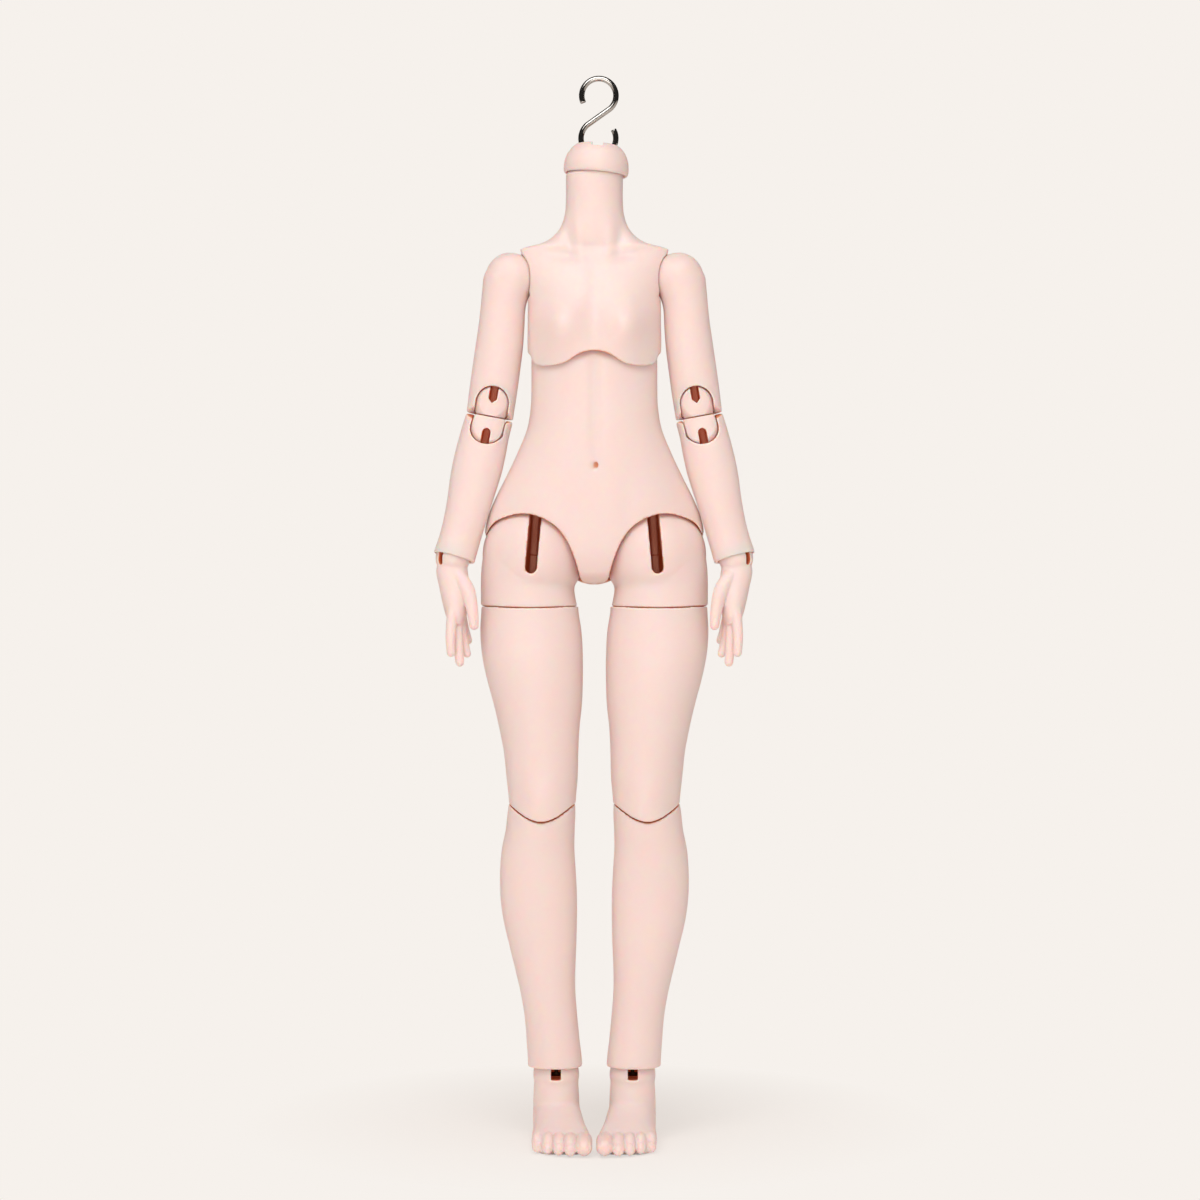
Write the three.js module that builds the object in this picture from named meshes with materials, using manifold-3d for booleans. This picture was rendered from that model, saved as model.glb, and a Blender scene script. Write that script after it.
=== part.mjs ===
// Headless ball-jointed doll body, strung on elastic, standing on its own feet.
// Millimetres, +Z up, the figure faces -Y, soles on z = 0.
// "R" pieces are the figure's right side (-X), "L" pieces mirror them.
import * as THREE from 'three';
import { mergeVertices } from 'three/addons/utils/BufferGeometryUtils.js';
import Module from 'manifold-3d';

const wasm = await Module();
wasm.setup();
const { Manifold, Mesh: SolidMesh } = wasm;

// sizes
const SEAT_GAP = 0.3;          // running gap between a ball and its socket
const SEAM_GAP = 0.3;          // gap at flat seams
const DEG = Math.PI / 180;
const FACET_MERGE = 0.05;      // slivers thinner than this are merged
const FIGURE_Y = 2.88;         // sets the middle of the footprint over the origin

// joint centres, x is the distance from the middle of the body
const NECK = { y: 1.0, z: 337.9, dome: 12.0, column: 10.15, rim: 344.3 };
const WAIST = { y: -1.4, z: 274.0, radius: 15.2, half: 23.0, square: 2.25 };
const SHOULDER = { x: 29.7, y: 0.5, z: 307.5, ball: 9.2 };
const HIP = { x: 21.6, y: 0.5, z: 209.0, ball: 18.2 };
const KNEE_X = 18.7;
const KNEE_UPPER_Z = 127.5;
const KNEE_LOWER_Z = 109.4;
const ANKLE = { x: 13.6, y: 2.0, z: 24.0, ball: 8.2 };

// arm chain, each length runs from one pivot to the next
const SHOULDER_SLOT = 3.6;
const UPPER_ARM_LENGTH = 44.9;
const ELBOW_SPACING = 9.5;
const FOREARM_LENGTH = 48.0;
const UPPER_ARM_TILT = 8.3 * DEG;
const ELBOW_TILT = 10.4 * DEG;
const FOREARM_TILT = 14.7 * DEG;
const FOREARM_LEAN = 8 * DEG;   // the forearms hang a little forward
const ELBOW_UPPER_BALL = 6.9;
const ELBOW_LOWER_BALL = 6.7;
const ELBOW_UPPER_SEAM = 5.0;   // upper pivot to the flat seam
const ELBOW_ARCH = 5.85;        // half width of the arched openings
const ELBOW_SLOT = 2.9;
const ELBOW_BEVEL = 26 * DEG;    // eases the front half of each elbow seam
const ARM_BORE = 3.2;           // radius of the string channel in the arms
const ELBOW_BORE = 2.6;
const WRIST_BALL = 6.1;

// neck cap and hook
const CAP_HEIGHT = 11.1;        // from its rim to its flat top
const CAP_TOP = NECK.rim + CAP_HEIGHT;
const CAP_RADIUS = 11.57;
const CAP_TILT = 4.2 * DEG;     // the cap leans to the figure's left
const WIRE = 2.0;
const HOOK_SEAT = 2.1;          // middle of the lower loop above the cap's top
const HOOK_LOWER = { z: CAP_TOP + HOOK_SEAT, radius: 6.2 };
const HOOK_UPPER = { radius: 6.1 };
const HOOK_STRAIGHT = 8.93;     // wire between the two loops
const HOOK_TILT = 0.6 * DEG;
const HOOK_TOP_END = 205 * DEG;  // where the wire ends in each loop
const HOOK_LOW_END = 390 * DEG;
const HOOK_GROOVE = WIRE + 2 * SEAT_GAP;
const CAP_HOLE = 4.2;           // radius, the string loops over the hook inside it
const NOTCH_WIDTH = 3.8;
const NOTCH_DEPTH = 1.7;

// thigh swivel, knee, slots
const THIGH_X = 22.9;           // swivel axis of the thigh
const THIGH_SEAM_Z = 191.0;
const THIGH_SEAM_RADIUS = 17.5;
const THIGH_SEAM_SLOPE = 0.3;   // the seam is a shallow cone, lowest in the middle
const HIP_SLOT_WIDTH = 4.1;
const HIP_SLOT_BOTTOM = 202.3;
const HIP_SLOT_TILT = 5 * DEG;
const THIGH_SPIGOT = { radius: 8.0, wall: 1.8, length: 5.0 };
const KNEE_DISC = 8.2;
const KNEE_HALF_WIDTH = 6.0;
const KNEE_FLEX = 55;
const KNEE_CAP_INNER = 11.6;
const KNEE_EDGE_SIDE = 120.7;
const KNEE_EDGE_FRONT = 115.0;
const KNEE_BACK_SLOPE = 35 * DEG;
const KNEE_SLOT = 3.6;
const ANKLE_CUFF_Z = 27.0;
const ANKLE_SLOT = 3.5;
const WRIST_SLOT = 2.2;
const WRIST_SLOT_TURN = 45;     // degrees, the slot opens outwards and forwards

// strings and hooks
const ELASTIC = 2.5;
const HIP_STRING = { x: 20.6, y: 0.2, z: 226.4 };
const SHOULDER_STRING = 6.4;    // from the ball centre to the chest stretch
const NECK_BORE = 4.4;
const LIMB_BORE = 4.0;          // radius of the string channels
const SMALL_WIRE = 1.4;
const FOOT_HOOK = { pin: 9.0, shank: 13.0, eye: 2.2 };
const HAND_HOOK = { pin: 6.4, shank: 9.0, eye: 1.8 };

// helpers
const solid = (geometry) => {
  const g = geometry.clone();
  g.deleteAttribute('normal');
  g.deleteAttribute('uv');
  const merged = mergeVertices(g, 1e-5);
  return new Manifold(new SolidMesh({
    numProp: 3,
    vertProperties: new Float32Array(merged.attributes.position.array),
    triVerts: new Uint32Array(merged.index.array),
  }));
};

const ball = (r, x, y, z, around = 22) =>
  solid(new THREE.SphereGeometry(r, around, around / 2).rotateX(Math.PI / 2).translate(x, y, z));

// a hollow for a ball: even the middles of its facets clear the ball
const cup = (r, x, y, z, around = 22) => ball(r / Math.cos(Math.PI / around) ** 2, x, y, z, around);

const block = (x0, x1, y0, y1, z0, z1) =>
  solid(new THREE.BoxGeometry(x1 - x0, y1 - y0, z1 - z0)
    .translate((x0 + x1) / 2, (y0 + y1) / 2, (z0 + z1) / 2));

// cylinders along each axis, centred on a point
const rodZ = (r, length, x, y, z, around = 12) =>
  solid(new THREE.CylinderGeometry(r, r, length, around).rotateX(Math.PI / 2).translate(x, y, z));
const rodX = (r, length, x, y, z, around = 24) =>
  solid(new THREE.CylinderGeometry(r, r, length, around).rotateZ(Math.PI / 2).translate(x, y, z));
const rodY = (r, length, x, y, z, around = 24) =>
  solid(new THREE.CylinderGeometry(r, r, length, around).translate(x, y, z));

// a closed outline in X and Z, pushed through the figure from y0 to y1
const prismY = (points, y0, y1) => {
  const shape = new THREE.Shape(points.map(([x, z]) => new THREE.Vector2(x, z)));
  const g = new THREE.ExtrudeGeometry(shape, { depth: y1 - y0, bevelEnabled: false });
  return solid(g.rotateX(Math.PI / 2).translate(0, y1, 0));
};

// a closed outline in Y and Z, pushed sideways from x0 to x1
const prismX = (points, x0, x1) => {
  const shape = new THREE.Shape(points.map(([y, z]) => new THREE.Vector2(y, z)));
  const g = new THREE.ExtrudeGeometry(shape, { depth: x1 - x0, bevelEnabled: false });
  return solid(g.rotateX(Math.PI / 2).rotateZ(Math.PI / 2).translate(x0, 0, 0));
};

const smooth = (points, count) =>
  new THREE.SplineCurve(points.map(([a, b]) => new THREE.Vector2(a, b)))
    .getPoints(count).map((p) => [p.x, p.y]);

// Sections stacked along Z and joined by a smooth skin.
// Each row is [z, centre x, centre y, half width, depth to -Y, depth to +Y].
const loftGeometry = (rows, { around = 22, steps = 12, square = 2.2, relief = null } = {}) => {
  const sorted = [...rows].sort((a, b) => a[0] - b[0]);
  const heights = sorted.map((row) => row[0]);
  const spline = new THREE.CubicInterpolant(heights, sorted.flatMap((row) => row.slice(1)), 5);
  spline.DefaultSettings_ = {
    endingStart: THREE.ZeroSlopeEnding,
    endingEnd: THREE.ZeroSlopeEnding,
  };
  const bottom = heights[0];
  const top = heights[heights.length - 1];
  const g = new THREE.CylinderGeometry(1, 1, 1, around, steps);
  const p = g.attributes.position;
  for (let i = 0; i < p.count; i += 1) {
    const z = bottom + (p.getY(i) + 0.5) * (top - bottom);
    const [cx, cy, w, f, b] = spline.evaluate(Math.min(Math.max(z, bottom), top - 1e-6));
    const radius = Math.hypot(p.getX(i), p.getZ(i));
    const turn = Math.atan2(-p.getZ(i), p.getX(i));
    const bend = (v) => Math.sign(v) * Math.abs(v) ** (2 / square);
    const c = radius > 0.5 ? bend(Math.cos(turn)) : 0;
    const s = radius > 0.5 ? bend(Math.sin(turn)) : 0;
    const point = new THREE.Vector3(cx + w * c, cy + (s < 0 ? f : b) * s, z);
    if (relief && radius > 0.5) {
      relief(point, c, s);
    }
    p.setXYZ(i, point.x, point.y, point.z);
  }
  return g;
};
const loft = (rows, options) => solid(loftGeometry(rows, options));

// the same rows pulled in by a wall all round
const inset = (rows, wall) =>
  rows.map(([z, cx, cy, w, f, b]) => [z, cx, cy, w - wall, f - wall, b - wall]);

// a round finger or toe along a curve, its radii given at each point
const digit = (points, radii, sides = 6, steps = 4) => {
  const curve = new THREE.CatmullRomCurve3(points.map((q) => new THREE.Vector3(...q)));
  const frames = curve.computeFrenetFrames(steps, false);
  const length = curve.getLength();
  const g = new THREE.CylinderGeometry(1, 1, 1, sides, steps);
  const p = g.attributes.position;
  const tip = radii[radii.length - 1];
  for (let i = 0; i < p.count; i += 1) {
    const t = Math.min(Math.max(p.getY(i) + 0.5, 0), 1);
    const ring = Math.round(t * steps);
    // rings crowd towards the rounded tip
    const u = Math.sin(t * Math.PI / 2);
    const at = curve.getPointAt(u);
    const slot = u * (radii.length - 1);
    const low = Math.min(Math.floor(slot), radii.length - 2);
    const plain = THREE.MathUtils.lerp(radii[low], radii[low + 1], slot - low);
    const left = (1 - u) * length;
    const cap = left < tip ? Math.sqrt(Math.max(0.06, 1 - ((tip - left) / tip) ** 2)) : 1;
    const r = Math.hypot(p.getX(i), p.getZ(i)) > 0.5 ? plain * cap : 0;
    const turn = Math.atan2(p.getX(i), p.getZ(i));
    at.addScaledVector(frames.normals[ring], r * Math.cos(turn));
    at.addScaledVector(frames.binormals[ring], r * Math.sin(turn));
    p.setXYZ(i, at.x, at.y, at.z);
  }
  return solid(g);
};

// a wire or string of round section along a three.js curve
const wire = (curve, diameter, steps, sides = 8) => {
  const section = new THREE.Shape(Array.from({ length: sides }, (_, i) => {
    const a = 2 * Math.PI * i / sides;
    return new THREE.Vector2(diameter / 2 * Math.cos(a), diameter / 2 * Math.sin(a));
  }));
  return solid(new THREE.ExtrudeGeometry(section, { steps, extrudePath: curve }));
};
const line = (a, b) => new THREE.LineCurve3(new THREE.Vector3(...a), new THREE.Vector3(...b));

// materials
const resin = (name) => {
  const m = new THREE.MeshStandardMaterial({ color: '#f4d8ca', roughness: 0.48, metalness: 0 });
  m.name = name;
  return m;
};
const steel = (name) => {
  const m = new THREE.MeshStandardMaterial({ color: '#9a9c9f', roughness: 0.22, metalness: 1 });
  m.name = name;
  return m;
};
const elastic = (name) => {
  const m = new THREE.MeshStandardMaterial({ color: '#eee2da', roughness: 0.85, metalness: 0 });
  m.name = name;
  return m;
};

const toMesh = (name, body, material) => {
  const data = body.simplify(FACET_MERGE).getMesh();
  const g = new THREE.BufferGeometry();
  g.setAttribute('position', new THREE.BufferAttribute(new Float32Array(data.vertProperties), 3));
  g.setIndex(new THREE.BufferAttribute(new Uint32Array(data.triVerts), 1));
  g.computeVertexNormals();
  const mesh = new THREE.Mesh(g, material(name));
  mesh.name = name;
  return mesh;
};

const figure = new THREE.Group();
figure.name = 'doll_body';
figure.position.y = FIGURE_Y;

const sides = [
  { tag: 'R', sign: -1 },
  { tag: 'L', sign: 1 },
];

// A pivot group at a joint centre. Right-side solids are built with x outward
// as -X, so the left side mirrors both the solid and its place.
const pivot = (parent, side, x, y, z, tilt = 0, lean = 0) => {
  const g = new THREE.Group();
  g.position.set(side.sign * x, y, z);
  g.rotation.set(-lean, -side.sign * tilt, 0);
  parent.add(g);
  return g;
};
const put = (group, side, name, body, material = resin) => {
  const handed = side.sign < 0 ? body : body.mirror([1, 0, 0]);
  const mesh = toMesh(`${name}_${side.tag}`, handed, material);
  group.add(mesh);
  return mesh;
};

// torso
// [z, centre x, centre y, half width, front, back]
const chestRows = [
  [270, 0, 0, 23.6, 17.4, 12.6],
  [278, 0, 0, 23.8, 18.0, 13.0],
  [285, 0, 0, 23.8, 17.8, 13.6],
  [294, 0, 0, 23.7, 16.2, 14.2],
  [302, 0, 0, 23.9, 14.2, 13.8],
  [311, 0, 0.5, 26.6, 11.4, 12.0],
  [316, 0, 1, 27.6, 9.0, 10.0],
  [318.2, 0, 1, 25.6, 8.4, 9.4],
  [319.8, 0, 1, 19.2, 9.0, 9.8],
  [322, 0, 1, 15.2, 9.6, 10.2],
  [325, 0, 1, 12.5, 10.0, 10.3],
  [330, 0, 1, 10.6, 10.1, 10.2],
  [336, 0, 1, 10.15, 10.15, 10.15],
  [344.3, 0, 1, 10.15, 10.15, 10.15],
];
const BUST = { x: 11.5, z: 288.5, rise: 3.0, wide: 8.0, tall: 8.5 };
const bustRelief = (point, c, s) => {
  if (s >= 0) {
    return;
  }
  const lift = (x) => BUST.rise * Math.exp(-(((point.x - x) / BUST.wide) ** 2)
    - (((point.z - BUST.z) / BUST.tall) ** 2));
  point.y -= (lift(BUST.x) + lift(-BUST.x)) * Math.min(1, -s * 1.6);
  // soft hollow between the neck tendons and along the breastbone
  const hollow = 0.9 * Math.exp(-((point.x / 4.5) ** 2) - (((point.z - 318) / 7) ** 2));
  point.y += hollow * -s;
};

// barrel that the chest leans on, a surface of revolution about X
const barrel = (gap) => {
  const half = WAIST.half + gap;
  const rounds = 5;
  const profile = [];
  for (let i = -rounds; i <= rounds; i += 1) {
    const x = Math.sin(i / rounds * Math.PI / 2);
    const r = (1 - Math.abs(x) ** WAIST.square) ** (1 / WAIST.square);
    profile.push(new THREE.Vector2(i === -rounds || i === rounds ? 0 : (WAIST.radius + gap) * r, x * half));
  }
  return solid(new THREE.LatheGeometry(profile, 20).rotateZ(-Math.PI / 2)
    .translate(0, WAIST.y, WAIST.z));
};

const RIM_SIDE_Z = 282.6;
const rimWave = smooth([
  [-30, RIM_SIDE_Z], [-23.4, 280.6], [-22.0, 277.6], [-19.6, 275.6], [-15, 275.2], [-10, 276.3],
  [-5, 278.6], [0, 280.3],
  [5, 278.6], [10, 276.3], [15, 275.2], [19.6, 275.6], [22.0, 277.6], [23.4, 280.6], [30, RIM_SIDE_Z],
], 22);
const belowRim = prismY([...rimWave, [30, 255], [-30, 255]], -40, WAIST.y)
  .add(block(-40, 40, WAIST.y, 40, 255, RIM_SIDE_Z));

// armhole: a plane leaning outwards at the top, and the cup for the arm's ball
const ARMHOLE = { lean: 12 * DEG, x: 24.2, z: 307.5, drop: 7.5 };
const armholeCut = () => solid(new THREE.BoxGeometry(30, 60, 40)
  .translate(-15, 0, 20 - ARMHOLE.drop).rotateY(-ARMHOLE.lean).translate(-ARMHOLE.x, 0, ARMHOLE.z));
const shoulderCup = () => cup(SHOULDER.ball + SEAT_GAP, -SHOULDER.x, SHOULDER.y, SHOULDER.z, 14);

const chestHollow = loft([
  [292.5, 0, 0, 17.5, 12, 9.6],
  [300, 0, 0, 17.5, 10.6, 9.6],
  [309, 0, 0.5, 14, 7.6, 8.0],
  [314, 0, 1, 9, 5.6, 6.0],
], { around: 12, steps: 3 });
const neckDome = rodZ(NECK.column, 12, 0, NECK.y, NECK.rim, 20)
  .intersect(ball(NECK.dome, 0, NECK.y, NECK.z, 20));

const armStringBore = () => rodX(LIMB_BORE, 24, -16, SHOULDER.y, SHOULDER.z, 10);

const upperTorso = loft(chestRows, { around: 24, steps: 13, square: 2.25, relief: bustRelief })
  .add(neckDome)
  .subtract(belowRim)
  .subtract(barrel(SEAT_GAP))
  .subtract(armholeCut())
  .subtract(armholeCut().mirror([1, 0, 0]))
  .subtract(shoulderCup())
  .subtract(shoulderCup().mirror([1, 0, 0]))
  .subtract(chestHollow)
  .subtract(armStringBore())
  .subtract(armStringBore().mirror([1, 0, 0]))
  .subtract(rodZ(NECK_BORE, 100, 0, NECK.y, NECK.rim, 12))
  .subtract(block(-6.5, 6.5, -9, 6, 270, 296));

const pelvisRows = [
  [198.8, 0, 1, 5.5, 8.0, 9.0],
  [200.6, 0, 1, 14.5, 12.6, 14.0],
  [204.5, 0, 1, 26.5, 14.6, 18.5],
  [209.5, 0, 1, 34.8, 16.2, 21.8],
  [215.4, 0, 1, 38.7, 17.0, 23.5],
  [222.5, 0, 1, 37.9, 17.4, 23.8],
  [229, 0, 0.8, 35.3, 17.2, 22.4],
  [237, 0, 0.5, 31.3, 16.9, 19.6],
  [245.7, 0, 0.2, 27.2, 16.6, 16.2],
  [254, 0, 0, 23.9, 16.4, 13.6],
  [262, 0, 0, 22.6, 16.0, 12.5],
  [269, 0, 0, 22.4, 16.0, 12.2],
  [277, 0, 0, 22.4, 16.2, 12.2],
  [291, 0, 0, 22.4, 16.2, 12.4],
];
const legHoleRim = smooth([
  [-19.5, -1], [-17.0, 6.4], [-13.4, 11.6], [-5.3, 14.3], [1.0, 13.6], [7.5, 10.3],
  [11.8, 5], [14.5, -1], [16.1, -6.2], [16.65, -8.3], [18.0, -9.6], [21.6, -10.2],
], 20).map(([x, z]) => [x - HIP.x, z + HIP.z]);
const legHole = () => {
  const front = prismY([...legHoleRim, [0, 190], [-60, 190], [-60, 208]], -40, HIP.y);
  // behind the hip centre the rim runs down and back under the seat
  const back = solid(new THREE.BoxGeometry(120, 60, 60).translate(0, 30, -30)
    .rotateX(-17 * DEG).rotateY(26 * DEG).translate(-38.6, HIP.y, 215.8));
  return front.add(back.intersect(block(-60, 0, HIP.y, 60, 150, 240)));
};
const hipSocket = () => cup(HIP.ball + SEAT_GAP, -HIP.x, HIP.y, HIP.z, 20);
const PELVIS_WALL = 3.4;
const pelvisHollow = loft(inset([
  [231, 0, 0.8, 33.5, 16.8, 21],
  [237, 0, 0.5, 31.3, 16.9, 19.6],
  [245.7, 0, 0.2, 27.2, 16.6, 16.2],
  [254, 0, 0, 23.9, 16.4, 13.6],
  [262, 0, 0, 22.6, 15.4, 12.0],
  [273, 0, -0.6, 20, 13.5, 11.5],
  [283, 0, -1.4, 14, 10, 9.5],
], PELVIS_WALL), { around: 12, steps: 4 });
// the hollow in the top of each hip socket lets the string swing
const hipStringHole = () => rodZ(5.0, 18, -HIP.x + 1.5, HIP.y - 1, 228, 10);

const pelvisOuter = loft(pelvisRows, { around: 24, steps: 12, square: 2.3 });
const waistTop = block(-40, 40, -40, 40, 150, WAIST.z).add(barrel(0));
const lowerTorso = pelvisOuter
  .intersect(waistTop)
  .subtract(legHole())
  .subtract(legHole().mirror([1, 0, 0]))
  .subtract(hipSocket())
  .subtract(hipSocket().mirror([1, 0, 0]))
  .subtract(pelvisHollow)
  .subtract(hipStringHole())
  .subtract(hipStringHole().mirror([1, 0, 0]))
  .subtract(block(-6, 6, -7, 3, 272, 294));

figure.add(toMesh('lower_torso', lowerTorso, resin));
figure.add(toMesh('upper_torso', upperTorso, resin));

// neck cap
const CAP_AROUND = 20;
const capProfile = () => {
  const points = [];
  const inner = (NECK.dome + SEAT_GAP) / Math.cos(Math.PI / CAP_AROUND) ** 2;
  const underside = Math.asin(10.5 / inner);
  const rings = 5;
  for (let i = 0; i <= rings; i += 1) {
    const a = underside * i / rings;
    points.push(new THREE.Vector2(inner * Math.sin(a), NECK.z + inner * Math.cos(a)));
  }
  // shares of the cap's radius and height
  const height = CAP_TOP - NECK.rim;
  const outer = smooth([
    [0.946, 0.005], [0.991, 0.08], [1, 0.26], [0.96, 0.51], [0.84, 0.77], [0.64, 0.94], [0.354, 1],
  ], 6).map(([r, h]) => new THREE.Vector2(r * CAP_RADIUS, NECK.rim + h * height));
  return [...points, ...outer, new THREE.Vector2(0, CAP_TOP)];
};
const neckCap = solid(new THREE.LatheGeometry(capProfile(), CAP_AROUND).rotateX(Math.PI / 2))
  .subtract(rodY(HOOK_LOWER.radius + WIRE / 2 + SEAT_GAP, HOOK_GROOVE, 0, 0, HOOK_LOWER.z, 20))
  .subtract(block(-NOTCH_WIDTH / 2, NOTCH_WIDTH / 2, -20, 20, CAP_TOP - NOTCH_DEPTH, CAP_TOP + 5))
  .subtract(rodZ(CAP_HOLE, 2 * (CAP_TOP - NECK.rim), 0, 0, NECK.rim, 12))
  .translate(0, 0, -NECK.z);
const capGroup = new THREE.Group();
capGroup.position.set(0, NECK.y, NECK.z);
capGroup.rotation.y = CAP_TILT;
capGroup.add(toMesh('neck_cap', neckCap, resin));
figure.add(capGroup);

// S-hook: two loops joined by their inner tangent line, seen from its lower loop
const hookCurve = () => {
  const rl = HOOK_LOWER.radius;
  const ru = HOOK_UPPER.radius;
  const rise = Math.hypot(rl + ru, HOOK_STRAIGHT);
  const slant = Math.acos((rl + ru) / rise);
  const leaveUpper = -Math.PI / 2 + slant;
  const meetLower = Math.PI / 2 + slant;
  const arc = (r, z, from, to) => {
    const points = [];
    const n = 14;
    for (let i = 0; i <= n; i += 1) {
      const a = from + (to - from) * i / n;
      points.push(new THREE.Vector3(r * Math.cos(a), 0, z + r * Math.sin(a)));
    }
    return points;
  };
  const upper = arc(ru, rise, HOOK_TOP_END, leaveUpper);
  const lower = arc(rl, 0, meetLower, HOOK_LOW_END);
  return new THREE.CatmullRomCurve3([...upper, ...lower], false, 'centripetal');
};
const hookGroup = new THREE.Group();
hookGroup.position.set(0, 0, HOOK_LOWER.z - NECK.z);
hookGroup.rotation.y = HOOK_TILT - CAP_TILT;
hookGroup.add(toMesh('neck_hook', wire(hookCurve(), WIRE, 28, 8), steel));
capGroup.add(hookGroup);

// strings
// One elastic runs from foot to foot over the hook, a second from hand to
// hand through the chest. Each stretch is its own piece between two joints.
const END = 0.2;               // half the gap between two stretches
const bent = (points) => new THREE.CatmullRomCurve3(points.map((q) => new THREE.Vector3(...q)));
const string = (a, b) => wire(line(a, b), ELASTIC, 1, 8);
const routed = (points, steps) => wire(bent(points), ELASTIC, steps, 8);
const STRAND = 1.6;            // half spacing of the two leg strands in the torso
const OVER_HOOK = WIRE / 2 + ELASTIC / 2 + 0.2;
const hookFloor = HOOK_LOWER.z - HOOK_LOWER.radius - NECK.z;

const overHook = () => {
  const points = [[0, -OVER_HOOK, END], [0, -OVER_HOOK, hookFloor - 4]];
  for (let i = 0; i <= 6; i += 1) {
    const a = Math.PI * i / 6;
    points.push([0, -OVER_HOOK * Math.cos(a), hookFloor + OVER_HOOK * Math.sin(a)]);
  }
  points.push([0, OVER_HOOK, hookFloor - 4], [0, OVER_HOOK, END]);
  return routed(points, 18);
};
capGroup.add(toMesh('neck_string', overHook(), elastic));
for (const { tag, sign } of sides) {
  figure.add(toMesh(`chest_string_${tag}`, routed([
    [0, NECK.y + sign * OVER_HOOK, NECK.z - END],
    [sign * 0.7, NECK.y + sign * 1.6, 322],
    [sign * STRAND, NECK.y - 0.8 + sign * 0.2, 300],
    [sign * STRAND, WAIST.y, WAIST.z + END],
  ], 10), elastic));
  figure.add(toMesh(`pelvis_string_${tag}`, routed([
    [sign * STRAND, WAIST.y, WAIST.z - END],
    [sign * 4.0, -1.4, 255],
    [sign * 13.5, -0.6, 240],
    [sign * HIP_STRING.x, HIP_STRING.y, HIP_STRING.z + END],
  ], 9), elastic));
  figure.add(toMesh(`hip_string_${tag}`, string(
    [sign * HIP_STRING.x, HIP_STRING.y, HIP_STRING.z - END],
    [sign * HIP.x, HIP.y, HIP.z + END],
  ), elastic));
}
// arm string inside the chest, bowed back past the leg strands
const armStringEnd = (reach) => [
  SHOULDER.x - reach * Math.cos(ARMHOLE.lean), SHOULDER.y,
  SHOULDER.z + reach * Math.sin(ARMHOLE.lean),
];
const [chestEndX, chestEndY, chestEndZ] = armStringEnd(SHOULDER_STRING + END);
figure.add(toMesh('arm_string_chest', routed([
  [-chestEndX, chestEndY, chestEndZ], [-12, 2.6, SHOULDER.z + 0.4], [0, 4.8, SHOULDER.z],
  [12, 2.6, SHOULDER.z + 0.4], [chestEndX, chestEndY, chestEndZ],
], 14), elastic));
for (const { tag, sign } of sides) {
  const [x, y, z] = armStringEnd(SHOULDER_STRING - END);
  const [cx, cy, cz] = armStringEnd(1.5);
  figure.add(toMesh(`arm_string_shoulder_${tag}`, string([sign * x, y, z], [sign * cx, cy, cz]), elastic));
}

// arms
const armRows = [
  [3, -1.3, 0, 7.2, 7.6, 7.6],
  [-2, -1.75, 0, 7.7, 8.2, 8.2],
  [-6, -1.5, 0, 7.7, 8.4, 8.4],
  [-10, -1.1, 0, 7.6, 8.4, 8.5],
  [-16, -0.85, 0, 8.05, 8.4, 8.6],
  [-24, -0.6, 0, 8.35, 8.2, 8.5],
  [-33, -0.5, 0, 8.5, 7.8, 8.4],
  [-41, -0.45, 0, 8.5, 7.4, 8.2],
  [-UPPER_ARM_LENGTH - ELBOW_UPPER_SEAM, -0.4, 0, 8.35, 7.2, 8.0],
];
const elbowArch = (z, dir) => rodY(ELBOW_ARCH, 30, 0, -17, z, 16)
  .add(block(-ELBOW_ARCH, ELBOW_ARCH, -32, -2,
    Math.min(z, z + dir * 20), Math.max(z, z + dir * 20)));
// wedge that eases the front half of a seam so that the joint can fold
const foldRelief = (z, dir) => {
  const reach = 14;
  const rise = reach * Math.tan(ELBOW_BEVEL);
  return prismX([[-1, z - dir * 2], [-1, z], [-1 - reach, z + dir * rise], [-1 - reach, z - dir * 2]],
    -20, 20);
};
// what lies past an elbow seam, seen from its joint centre; the seam lies square to the elbow
const pastSeam = (z, dir, tilt) => block(-30, 30, -30, 30, Math.min(z, -dir * 40), Math.max(z, -dir * 40))
  .add(foldRelief(z, dir))
  .rotate([0, (ELBOW_TILT - tilt) / DEG, 0]);
const upperArm = () => {
  const seam = SEAM_GAP - ELBOW_UPPER_SEAM;
  return loft(armRows, { around: 16, steps: 6 })
    .subtract(pastSeam(seam, 1, UPPER_ARM_TILT).translate(0, 0, -UPPER_ARM_LENGTH))
    .add(ball(SHOULDER.ball, 0, 0, 0, 16))
    .subtract(cup(ELBOW_UPPER_BALL + SEAT_GAP, 0, 0, -UPPER_ARM_LENGTH, 12))
    .subtract(elbowArch(-UPPER_ARM_LENGTH, -1))
    .subtract(rodZ(ARM_BORE, UPPER_ARM_LENGTH, 0, 0, -UPPER_ARM_LENGTH / 2, 8))
    .subtract(block(-2, 20, -SHOULDER_SLOT / 2, SHOULDER_SLOT / 2, -2, 20));
};
const elbowPiece = (radius, seam, dir) => {
  // dir +1 keeps the ball above its seam, -1 below
  const slotZ = dir > 0 ? 2.6 : -1.8;
  return ball(radius, 0, 0, 0, 14)
    .subtract(block(-20, 20, -20, 20, dir > 0 ? -30 : seam, dir > 0 ? seam : 30))
    .subtract(block(-ELBOW_SLOT / 2, ELBOW_SLOT / 2, -20, 1.6,
      dir > 0 ? slotZ : -20, dir > 0 ? 20 : slotZ))
    .subtract(rodY(ELBOW_SLOT / 2, 21.6, 0, -9.2, slotZ, 8))
    .subtract(rodZ(ELBOW_BORE, 30, 0, 0, 0, 8));
};
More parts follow.
